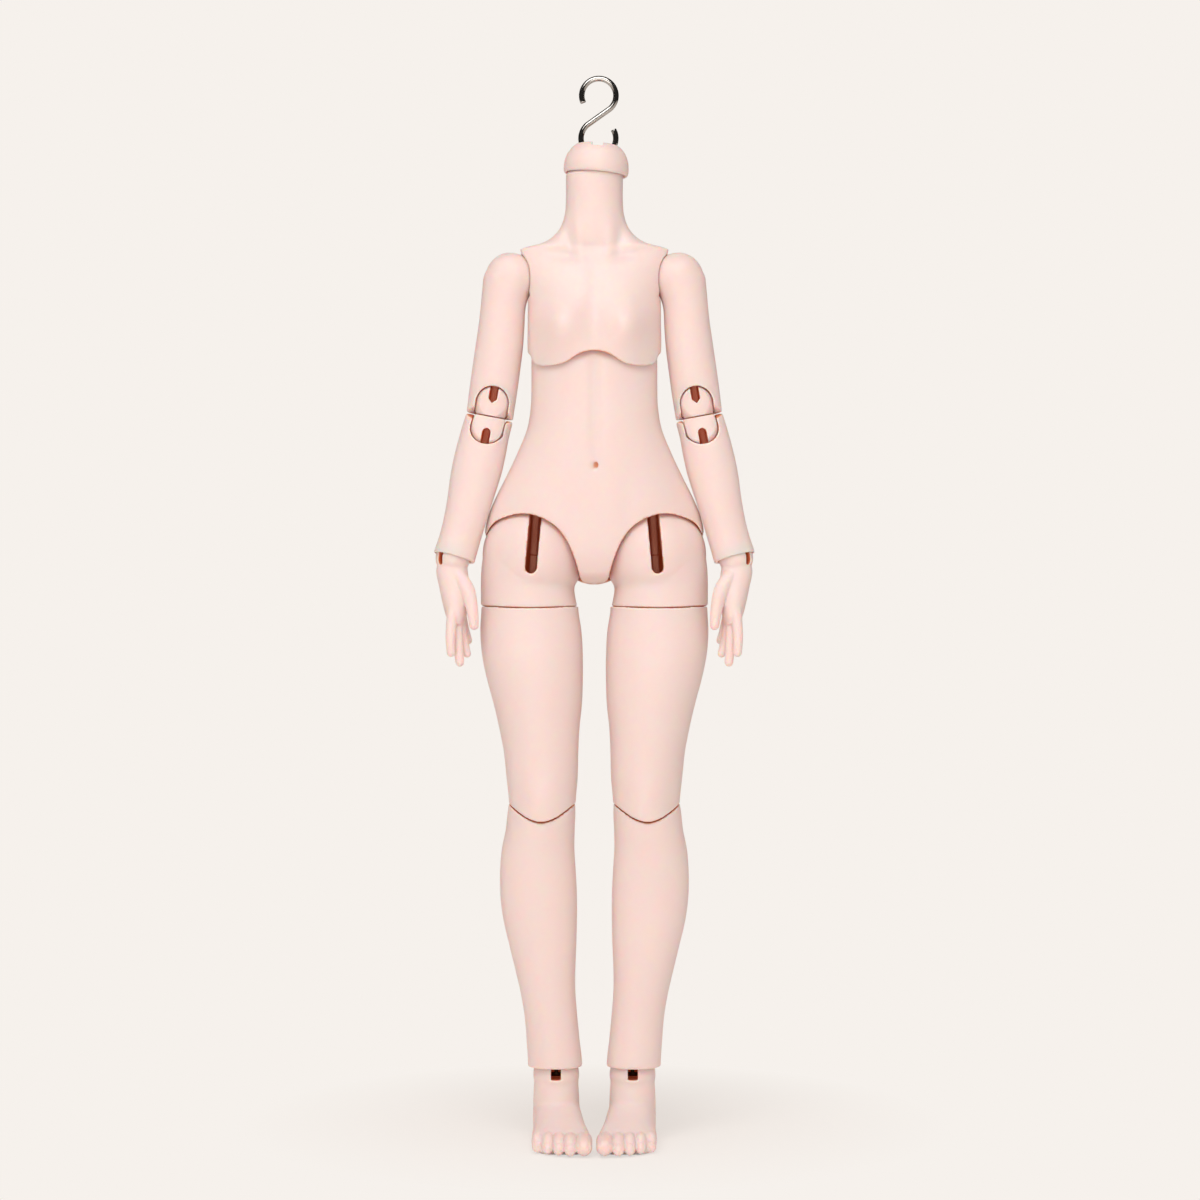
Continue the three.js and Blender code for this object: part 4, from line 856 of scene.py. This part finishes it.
def make_upper_thigh():
    """Hip ball and short thigh, with the long slot in which the string swings forward."""
    slot = carve(block(-HIP_SLOT_WIDTH / 2, HIP_SLOT_WIDTH / 2, -40, 6, 0, 40),
                 ("join", rod(HIP_SLOT_WIDTH / 2, 46, 0, -17, 0, axis="Y", around=32)))
    moved(slot, shift(-HIP["x"] - 0.6, HIP["y"], HIP_SLOT_BOTTOM + HIP_SLOT_WIDTH / 2)
          @ turn_y(HIP_SLOT_TILT))
    # the string's room in the middle of the ball
    room = ball(9.5, -HIP["x"], HIP["y"], HIP["z"] - 6)
    thigh = loft(upper_thigh_rows, around=96, steps=40)
    skin = outer_skin(carve(thigh, ("join", ball(HIP["ball"], -HIP["x"], HIP["y"], HIP["z"], 96))))
    spigot = rod(THIGH_SPIGOT + SEAT_GAP, 20, -THIGH_X, HIP["y"], THIGH_SEAM_Z - 1)
    carve(thigh, ("cut", seam_side(1), spigot, room, slot))
    cast(thigh, skin, GRAIN["hip ball"], deep=HIP_PAINTED_GLOW)
    return ease_band(thigh, low=194.5, high=201, rounds=40)


def knee_edge(drop):
    """The kneecap's lower edge from the front, lowest in the middle."""
    points = []
    half = 11.6
    for i in range(41):
        x = -half + 2 * half * i / 40
        fall = (KNEE_EDGE_SIDE - KNEE_EDGE_FRONT) * max(0, math.cos(x / half * math.pi / 2)) ** 1.1
        points.append((x - KNEE_X, KNEE_EDGE_SIDE - fall - drop))
    return [(-40, KNEE_EDGE_SIDE - drop)] + points + [(2, KNEE_EDGE_SIDE - drop)]


def knee_room(z, toward):
    """The room in which one end of the knee link swings."""
    reach = KNEE_DISC + SEAT_GAP
    half = KNEE_HALF_WIDTH + SEAT_GAP
    back_y, back_z = reach * math.cos(KNEE_FLEX), reach * math.sin(KNEE_FLEX)
    fan = [(-reach, z), (-reach, z - toward * 30), (30, z - toward * 30),
           (30, z + toward * (back_z - (30 - back_y) / math.tan(KNEE_FLEX))),
           (back_y, z + toward * back_z)]
    return carve(prism(fan, -KNEE_X - half, -KNEE_X + half, axis="X"),
                 ("join", rod(reach, 2 * half, -KNEE_X, 0, z, axis="X")))


def bore(a, b, radius):
    """A straight channel from one point to another."""
    return tube([a, b], [radius, radius], sides=24, steps=1, cap=False)


def knee_relief(co, back):
    """Kneecap, and the soft hollows either side of it."""
    if back < 0:
        co.y -= 0.8 * bell(co.x, -KNEE_X, 5.0) * bell(co.z, 123.5, 5.5) * -back
        for side in (-1, 1):
            co.y += 0.5 * bell(co.x, -KNEE_X + side * 8.5, 2.6) * bell(co.z, 122, 6) * -back


def make_lower_thigh():
    slope = KNEE_LOWER_Z + KNEE_CAP_INNER
    back = prism([(0, slope), (30, slope + 30 * math.tan(KNEE_BACK_SLOPE)), (30, 90), (0, 90)],
                 -50, 10, axis="X")
    edge = prism(knee_edge(0) + [(2, 90), (-40, 90)], -40, 0.01)
    thigh = loft(lower_thigh_rows, around=96, steps=80, relief=knee_relief)
    skin = outer_skin(thigh)
    spigot = rod(THIGH_SPIGOT, 11, -THIGH_X, HIP["y"], THIGH_SEAM_Z)
    carve(thigh, ("cut", seam_side(-1)), ("join", spigot),
          ("cut", rod(SPIGOT_BORE, 30, -THIGH_X, HIP["y"], THIGH_SEAM_Z), edge, back,
           rod(KNEE_CAP_INNER, 60, -KNEE_X, 0, KNEE_LOWER_Z, axis="X", around=96),
           knee_room(KNEE_UPPER_Z, 1),
           bore((-THIGH_X, HIP["y"], THIGH_SEAM_Z - 10), (-KNEE_X, 0, KNEE_UPPER_Z), LEG_BORE)))
    return cast(thigh, skin, GRAIN["thigh"])


def make_knee():
    """The hidden link: a disc at each end, slotted for the string behind."""
    link = rod(KNEE_DISC, 2 * KNEE_HALF_WIDTH, -KNEE_X, 0, KNEE_UPPER_Z, axis="X", around=64)
    lower = rod(KNEE_DISC, 2 * KNEE_HALF_WIDTH, -KNEE_X, 0, KNEE_LOWER_Z, axis="X", around=64)
    x0, x1 = -KNEE_X - KNEE_HALF_WIDTH, -KNEE_X + KNEE_HALF_WIDTH
    s0, s1 = -KNEE_X - KNEE_SLOT / 2, -KNEE_X + KNEE_SLOT / 2
    skin = outer_skin(carve(link, ("join", lower,
                                   block(x0, x1, -KNEE_DISC, KNEE_DISC, KNEE_LOWER_Z, KNEE_UPPER_Z))))
    bore_radius = KNEE_SLOT / 2
    carve(link, ("cut", block(s0, s1, -bore_radius, 20, KNEE_UPPER_Z - bore_radius, 160),
                 block(s0, s1, -bore_radius, 20, 80, KNEE_LOWER_Z + bore_radius),
                 rod(bore_radius, 60, -KNEE_X, 0, (KNEE_UPPER_Z + KNEE_LOWER_Z) / 2)))
    return cast(link, skin, GRAIN["knee link"])


def make_shin():
    gone = prism(knee_edge(KNEE_EDGE_GAP) + [(2, 140), (-40, 140)], -40, 0.01)
    carve(gone, ("join", block(-60, 20, 0, 40, KNEE_LOWER_Z, 140)),
          ("cut", rod(KNEE_CAP_INNER - SEAT_GAP, 60, -KNEE_X, 0, KNEE_LOWER_Z, axis="X", around=96)))
    back = prism([(0, KNEE_LOWER_Z + KNEE_CAP_INNER - SEAT_GAP), (5.5, KNEE_LOWER_Z + 9.6),
                  (30, KNEE_LOWER_Z - 7.5), (30, 150), (0, 150)], -50, 10, axis="X")
    shin = loft(shin_rows, around=96, steps=90)
    skin = outer_skin(shin)
    carve(shin, ("cut", gone, back, knee_room(KNEE_LOWER_Z, -1),
                 ball(ANKLE["ball"] + SEAT_GAP, -ANKLE["x"], ANKLE["y"], ANKLE["z"]),
                 bore((-KNEE_X, 0, KNEE_LOWER_Z), (-ANKLE["x"], ANKLE["y"], ANKLE["z"]), LEG_BORE)))
    return cast(shin, skin, GRAIN["shin"])


# big toe to little toe: [x, y of the root, y of the tip, radius]
TOES = [[-3.6, -19, -30.5, 2.95], [-8.35, -19, -29.6, 2.05], [-12.3, -18, -28.0, 2.0],
        [-16.1, -17, -25.8, 1.95], [-19.8, -15, -22.8, 1.9]]


def nail(co, centre, wide, tall, rise):
    """A nail plate: its middle lifted a little and a fine groove round it."""
    away = math.hypot((co.x - centre[0]) / wide, (co.z - centre[1]) / tall)
    if away > 1.6:
        return 0.0
    return rise * (0.5 * min(1.0, max(0.0, (1.05 - away) * 6)) - 1.0 * bell(away, 1.15, 0.16))


def toe_marks(co, normal):
    """The five toenails."""
    if normal.y > -0.15 or co.y > -18 or co.z < 1.2:
        return 0.0
    return sum(nail(co, (x, 2.1 * r - 0.6), 0.52 * r, 0.6 * r, 0.12) for x, root, tip, r in TOES)


def make_foot():
    cx = -ANKLE["x"]
    sole = loft([
        [-19.5, cx, 6.2, 4.8, 6.4, 3.6],
        [-17.5, cx, 6.8, 7.0, 8.0, 7.0],
        [-13, cx, 7.5, 7.8, 8.6, 9.5],
        [-6, cx, 7.5, 8.4, 8.6, 11.0],
        [2, cx + 0.6, 7.0, 8.7, 8.0, 10.0],
        [10, cx + 1.3, 5.6, 9.4, 6.6, 6.6],
        [16, cx + 1.9, 4.6, 10.2, 5.6, 4.8],
        [20, cx + 2.2, 3.9, 10.2, 4.8, 3.3],
        [22.5, cx + 2.6, 3.2, 8.8, 3.6, 2.0],
    ], around=72, steps=60, square=2.5)
    moved(sole, Matrix.Rotation(math.pi / 2, 4, "X"))
    neck = loft([
        [ANKLE["z"] + 2, cx, ANKLE["y"], 7.6, 7.4, 7.8],
        [18, cx, 2.2, 8.1, 8.0, 8.6],
        [12, cx, 2.8, 8.3, 9.6, 10.4],
        [6, cx, 3, 8.0, 11, 12],
    ], around=64, steps=24)
    # each toe leaves the foot high and turns down to the floor
    toes = []
    for x, root, tip, r in TOES:
        toes.append(tube([(x, root, 7.4 - r), (x, (root + tip) / 2, 7.2 - r), (x, tip + r, 0.6 + r),
                          (x, tip, r + 0.1)], [r, r, r, r]))
    pin = rod(SMALL_WIRE / 2 + SEAT_GAP, 9.6, cx, ANKLE["y"], ANKLE["z"], axis="X", around=24)
    skin = outer_skin(carve(sole, ("join", neck, ball(ANKLE["ball"], cx, ANKLE["y"], ANKLE["z"]), *toes),
                            ("cut", block(-40, 10, -50, 50, -20, 0))))
    # the slot stops short of the heel side, which stays closed
    slot = block(cx - ANKLE_SLOT / 2, cx + ANKLE_SLOT / 2, -8, ANKLE["y"] + 5.0,
                 ANKLE["z"] - 1.0, ANKLE["z"] + 12)
    carve(sole, ("cut", slot, pin))
    cast(sole, skin, GRAIN["foot"], soften=4)
    return engrave(ease_band(sole, low=11.5, high=22, rounds=80), toe_marks)


# materials
def linear(code):
    """An sRGB hex colour as the linear values that sockets take."""
    parts = [int(code[i:i + 2], 16) / 255 for i in (1, 3, 5)]
    return [p / 12.92 if p <= 0.04045 else ((p + 0.055) / 1.055) ** 2.4 for p in parts] + [1.0]


def add_node(tree, kind, settings=None, **links):
    """One node with its settings; a link is given as input_name=(node, output)."""
    node = tree.nodes.new(kind)
    for key, value in (settings or {}).items():
        if key in node.inputs:
            node.inputs[key].default_value = value
        else:
            setattr(node, key, value)
    for key, (source, output) in links.items():
        tree.links.new(source.outputs[output], node.inputs[key.replace("_", " ")])
    return node


def finish_named(name, settings):
    """A material, its node tree and its shader with the settings given."""
    mat = bpy.data.materials.new(name)
    mat.use_nodes = True
    tree = mat.node_tree
    shader = tree.nodes["Principled BSDF"]
    for key, value in settings.items():
        shader.inputs[key].default_value = value
    return mat, tree, shader


def cast_resin():
    """Cast polyurethane resin: a satin skin that light enters a little way, so edges
    glow warm; seams and slots carry painted shade and a painted glow; faint mottling and the fine tooth
    left by the mould."""
    # the emission colour is the painted glow of seams and slots
    mat, tree, shader = finish_named("cast_resin", {
        "Roughness": 0.5, "IOR": 1.5, "Subsurface Weight": 1.0, "Subsurface Scale": 0.003,
        "Subsurface Radius": (1.0, 0.36, 0.2), "Specular IOR Level": 0.7,
        "Emission Color": linear("#dc5a26"), "Sheen Weight": 0.2, "Sheen Roughness": 0.5,
        "Sheen Tint": linear("#ffbfac"),
    })
    place = add_node(tree, "ShaderNodeTexCoord")
    # colour drifts over about 30 mm
    drift = add_node(tree, "ShaderNodeTexNoise", {"Scale": 33.0, "Detail": 2.0},
                     Vector=(place, "Object"))
    tint = add_node(tree, "ShaderNodeMix", {"data_type": "RGBA"}, Factor=(drift, "Fac"))
    tint.inputs[6].default_value = linear("#e7d1cb")
    tint.inputs[7].default_value = linear("#ead7d2")
    # painted shade: seams and slots turn a deeper orange-brown the further they lie under the outside
    depth = add_node(tree, "ShaderNodeAttribute", {"attribute_name": "inner"})
    seam_shade = add_node(tree, "ShaderNodeMix", {"data_type": "RGBA"}, Factor=(depth, "Fac"))
    seam_shade.inputs[6].default_value = linear("#dd9670")
    seam_shade.inputs[7].default_value = linear("#b04e28")
    edge = add_node(tree, "ShaderNodeMapRange", {"From Max": 0.2}, Value=(depth, "Fac"))
    shade = add_node(tree, "ShaderNodeMix", {"data_type": "RGBA"}, Factor=(edge, "Result"))
    tree.links.new(tint.outputs[2], shade.inputs[6])
    tree.links.new(seam_shade.outputs[2], shade.inputs[7])
    tree.links.new(shade.outputs[2], shader.inputs["Base Color"])
    # painted glow: seams and slots give off a dull red light of their own, by the same depth
    glow = add_node(tree, "ShaderNodeMath", {"operation": "MULTIPLY"})
    tree.links.new(depth.outputs["Fac"], glow.inputs[0])
    glow.inputs[1].default_value = 0.09
    tree.links.new(glow.outputs[0], shader.inputs["Emission Strength"])
    # mould tooth of about 0.5 mm
    tooth = add_node(tree, "ShaderNodeTexNoise", {"Scale": 2000.0, "Detail": 1.0},
                     Vector=(place, "Object"))
    bump = add_node(tree, "ShaderNodeBump", {"Strength": 0.04, "Distance": 0.0001},
                    Height=(tooth, "Fac"))
    tree.links.new(bump.outputs["Normal"], shader.inputs["Normal"])
    return mat


def wire_finish(name, colour, rough):
    """Drawn wire: its gloss varies a little along every few millimetres."""
    mat, tree, shader = finish_named(name, {"Base Color": linear(colour), "Metallic": 1.0})
    place = add_node(tree, "ShaderNodeTexCoord")
    drawn = add_node(tree, "ShaderNodeTexNoise", {"Scale": 300.0, "Detail": 1.0},
                     Vector=(place, "Object"))
    gloss = add_node(tree, "ShaderNodeMapRange", {"To Min": rough * 0.8, "To Max": rough * 1.2},
                     Value=(drawn, "Fac"))
    tree.links.new(gloss.outputs[0], shader.inputs["Roughness"])
    return mat


def steel_wire():
    """Polished stainless steel: bright lines where it meets the lamps, dark elsewhere."""
    return wire_finish("steel_wire", "#bcb7b1", 0.1)


def slot_shade_wire():
    """The small hooks in the wrists and ankles: the same wire coloured dark brown as painted shade,
    standing in for the shade of their slots.
    """
    return wire_finish("slot_shade_wire", "#33251c", 0.6)


def covered_elastic():
    """Braided covered elastic: matt flesh-coloured cord with a fine crossed weave."""
    mat, tree, shader = finish_named("covered_elastic", {
        "Base Color": linear("#de9c7e"), "Roughness": 0.85,
    })
    place = add_node(tree, "ShaderNodeTexCoord")
    weave = add_node(tree, "ShaderNodeTexVoronoi", {"Scale": 1800.0}, Vector=(place, "Object"))
    bump = add_node(tree, "ShaderNodeBump", {"Strength": 0.4, "Distance": 0.0002},
                    Height=(weave, "Distance"))
    tree.links.new(bump.outputs["Normal"], shader.inputs["Normal"])
    return mat


RESIN = cast_resin()
STEEL = steel_wire()
SLOT_SHADE_STEEL = slot_shade_wire()
ELASTIC_CORD = covered_elastic()


# setting the pieces into the frame
INTO_FRAME = Matrix.Scale(0.001, 4) @ shift(0, FIGURE_Y, 0)


def install(obj, name, node, body, material=RESIN):
    """Puts a finished piece in the place of its CAD node, riding on the node's body."""
    obj.name = name
    obj.data.name = name
    obj.data.transform(INTO_FRAME)
    obj.data.materials.clear()
    obj.data.materials.append(material)
    for poly in obj.data.polygons:
        poly.use_smooth = True
    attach(obj, body)
    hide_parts(node)


def install_pair(obj, name, node, material=RESIN):
    """The same on both sides; each of these nodes rides on a body of its own name."""
    twin = mirrored(obj)
    for side, made in (("R", obj), ("L", twin)):
        install(made, f"{name}_{side}", f"{node}_{side}", f"{node}_{side}", material)


install(make_chest(), "chest_casting", "upper_torso", "upper_torso")
install(make_pelvis(), "belly_casting", "lower_torso", "lower_torso")
cap_place = shift(0, NECK["y"], NECK["z"]) @ turn_y(CAP_TILT)
hook_place = cap_place @ shift(0, 0, HOOK_LOWER["z"] - NECK["z"]) @ turn_y(HOOK_TILT - CAP_TILT)
install(moved(make_cap(), cap_place), "neck_cap_casting", "neck_cap", "neck_cap")
hook = tube(hook_route(), [WIRE / 2, WIRE / 2], sides=24, steps=160, cap=False)
install(moved(hook, hook_place), "s_hook_wire", "neck_hook", "neck_hook", STEEL)

shoulder = shift(-SHOULDER["x"], SHOULDER["y"], SHOULDER["z"]) @ turn_y(UPPER_ARM_TILT)
elbow = shoulder @ shift(0, 0, -UPPER_ARM_LENGTH) @ turn_y(ELBOW_TILT - UPPER_ARM_TILT)
elbow_low = elbow @ shift(0, 0, -ELBOW_SPACING)
fore = elbow_low @ FOREARM_SET
wrist = fore @ shift(0, 0, -FOREARM_LENGTH)
palm_place = wrist @ turn_y(-FOREARM_TILT)

install_pair(moved(make_upper_arm(), shoulder), "upper_arm_casting", "upper_arm")
upper_window = elbow_arch(-UPPER_ARM_LENGTH, -1, ELBOW_UPPER_DROP, COVER_EDGE)
lower_window = elbow_arch(0, 1, ELBOW_LOWER_DROP, COVER_EDGE)
upper_cover = elbow_cover(arm_rows, upper_window, ELBOW_UPPER_REACH, ELBOW_TO_ARM.inverted())
lower_cover = elbow_cover(forearm_rows, lower_window, ELBOW_LOWER_REACH, FOREARM_SET)
# the two halves meet with a hair's gap at the turning seam
upper_seam = -ELBOW_UPPER_SEAM + 0.1
lower_seam = ELBOW_SPACING - ELBOW_UPPER_SEAM - 0.2
upper_half = make_elbow(ELBOW_UPPER_BALL, upper_seam, 1, upper_cover)
lower_half = make_elbow(ELBOW_LOWER_BALL, lower_seam, -1, lower_cover)
install_pair(moved(upper_half, elbow), "elbow_half_upper", "elbow_upper")
install_pair(moved(lower_half, elbow_low), "elbow_half_lower", "elbow_lower")
install_pair(moved(make_forearm(), fore), "forearm_casting", "forearm")
install_pair(moved(make_hand(), palm_place), "hand_casting", "hand")
install_pair(make_upper_thigh(), "hip_ball_casting", "upper_thigh")
install_pair(make_lower_thigh(), "thigh_casting", "lower_thigh")
install_pair(make_knee(), "knee_link_casting", "knee_joint")
install_pair(make_shin(), "shin_casting", "shin")
install_pair(make_foot(), "foot_casting", "foot")
pin_turn = Matrix.Rotation(math.pi / 2 + WRIST_SLOT_TURN, 4, "Z")
# the wrist and ankle hooks wear a painted shade colour
install_pair(moved(string_hook(pin=6.4, shank=9.0, eye=1.8), wrist @ pin_turn),
             "hand_hook_wire", "hand_hook", SLOT_SHADE_STEEL)
ankle = shift(-ANKLE["x"], ANKLE["y"], ANKLE["z"])
install_pair(moved(string_hook(pin=9.0, shank=13.0, eye=2.2), ankle),
             "foot_hook_wire", "foot_hook", SLOT_SHADE_STEEL)

# the strings keep their CAD meshes
for node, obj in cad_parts.items():
    if "string" in node:
        obj.data.materials.clear()
        obj.data.materials.append(ELASTIC_CORD)
        for poly in obj.data.polygons:
            poly.use_smooth = True


# stage
BACKDROP = linear("#f6f1ec")


def floor():
    """Pale paper floor that keeps the soft shadow near the feet."""
    bm = bmesh.new()
    bmesh.ops.create_circle(bm, cap_ends=True, segments=64, radius=3.0)
    obj = piece(bm, "studio_floor")
    mat = bpy.data.materials.new("studio_paper")
    mat.use_nodes = True
    tree = mat.node_tree
    tree.nodes.clear()
    out = add_node(tree, "ShaderNodeOutputMaterial")
    paper = add_node(tree, "ShaderNodeBsdfDiffuse", {"Color": linear("#f8f1ec")})
    glow = add_node(tree, "ShaderNodeEmission", {"Color": BACKDROP, "Strength": 1.0})
    ray = add_node(tree, "ShaderNodeLightPath")
    place = add_node(tree, "ShaderNodeTexCoord")
    behind = add_node(tree, "ShaderNodeVectorMath", {"operation": "SUBTRACT"})
    behind.inputs[1].default_value = (0, 0.045, 0)
    tree.links.new(place.outputs["Object"], behind.inputs[0])
    away = add_node(tree, "ShaderNodeVectorMath", {"operation": "LENGTH"})
    tree.links.new(behind.outputs[0], away.inputs[0])
    # the shadow lies just behind the feet and fades out round them
    fade = add_node(tree, "ShaderNodeMapRange",
                    {"From Min": 0.03, "From Max": 0.13, "To Min": 0.5, "To Max": 1.0})
    tree.links.new(away.outputs["Value"], fade.inputs["Value"])
    share = add_node(tree, "ShaderNodeMath", {"operation": "MULTIPLY"})
    tree.links.new(ray.outputs["Is Camera Ray"], share.inputs[0])
    tree.links.new(fade.outputs[0], share.inputs[1])
    blend = add_node(tree, "ShaderNodeMixShader")
    tree.links.new(share.outputs[0], blend.inputs[0])
    tree.links.new(paper.outputs[0], blend.inputs[1])
    tree.links.new(glow.outputs[0], blend.inputs[2])
    tree.links.new(blend.outputs[0], out.inputs["Surface"])
    obj.data.materials.append(mat)


def studio():
    """An even bright room behind a pale backdrop."""
    world = bpy.data.worlds.new("studio")
    bpy.context.scene.world = world
    world.use_nodes = True
    tree = world.node_tree
    tree.nodes.clear()
    out = add_node(tree, "ShaderNodeOutputWorld")
    room = add_node(tree, "ShaderNodeBackground", {"Color": linear("#fbf6f2"), "Strength": 0.58})
    seen = add_node(tree, "ShaderNodeBackground", {"Color": BACKDROP, "Strength": 1.0})
    ray = add_node(tree, "ShaderNodeLightPath")
    # mirrors see a dim room, so polished wire shows only the soft boxes
    dim = add_node(tree, "ShaderNodeBackground", {"Color": linear("#fbf6f2"), "Strength": 0.03})
    lit = add_node(tree, "ShaderNodeMixShader")
    tree.links.new(ray.outputs["Is Glossy Ray"], lit.inputs[0])
    tree.links.new(room.outputs[0], lit.inputs[1])
    tree.links.new(dim.outputs[0], lit.inputs[2])
    blend = add_node(tree, "ShaderNodeMixShader")
    tree.links.new(ray.outputs["Is Camera Ray"], blend.inputs[0])
    tree.links.new(lit.outputs[0], blend.inputs[1])
    tree.links.new(seen.outputs[0], blend.inputs[2])
    tree.links.new(blend.outputs[0], out.inputs["Surface"])


def softbox(name, place, aim, size, power):
    """A soft rectangular lamp turned to a point on the figure."""
    lamp = bpy.data.lights.new(name, "AREA")
    lamp.shape = "RECTANGLE"
    lamp.size, lamp.size_y = size
    lamp.energy = power
    obj = bpy.data.objects.new(name, lamp)
    obj.location = place
    obj.rotation_euler = (Vector(aim) - Vector(place)).to_track_quat("-Z", "Y").to_euler()
    bpy.context.scene.collection.objects.link(obj)


def camera():
    """Level camera a metre in front of the figure, at half its height."""
    data = bpy.data.cameras.new("front")
    data.sensor_width = 36
    data.lens = 84.3
    obj = bpy.data.objects.new("front", data)
    obj.location = (0.002, -1.0 + FIGURE_Y * 0.001, 0.193)
    obj.rotation_euler = (math.pi / 2, 0, 0)
    bpy.context.scene.collection.objects.link(obj)
    bpy.context.scene.camera = obj


floor()
studio()
softbox("key", (-0.12, -0.8, 1.1), (0, 0, 0.25), (0.9, 0.7), 8.1)
softbox("fill", (-0.1, -1.2, 0.14), (0, 0, 0.05), (0.7, 0.3), 2.8)
camera()
bpy.context.scene.view_settings.view_transform = "Standard"
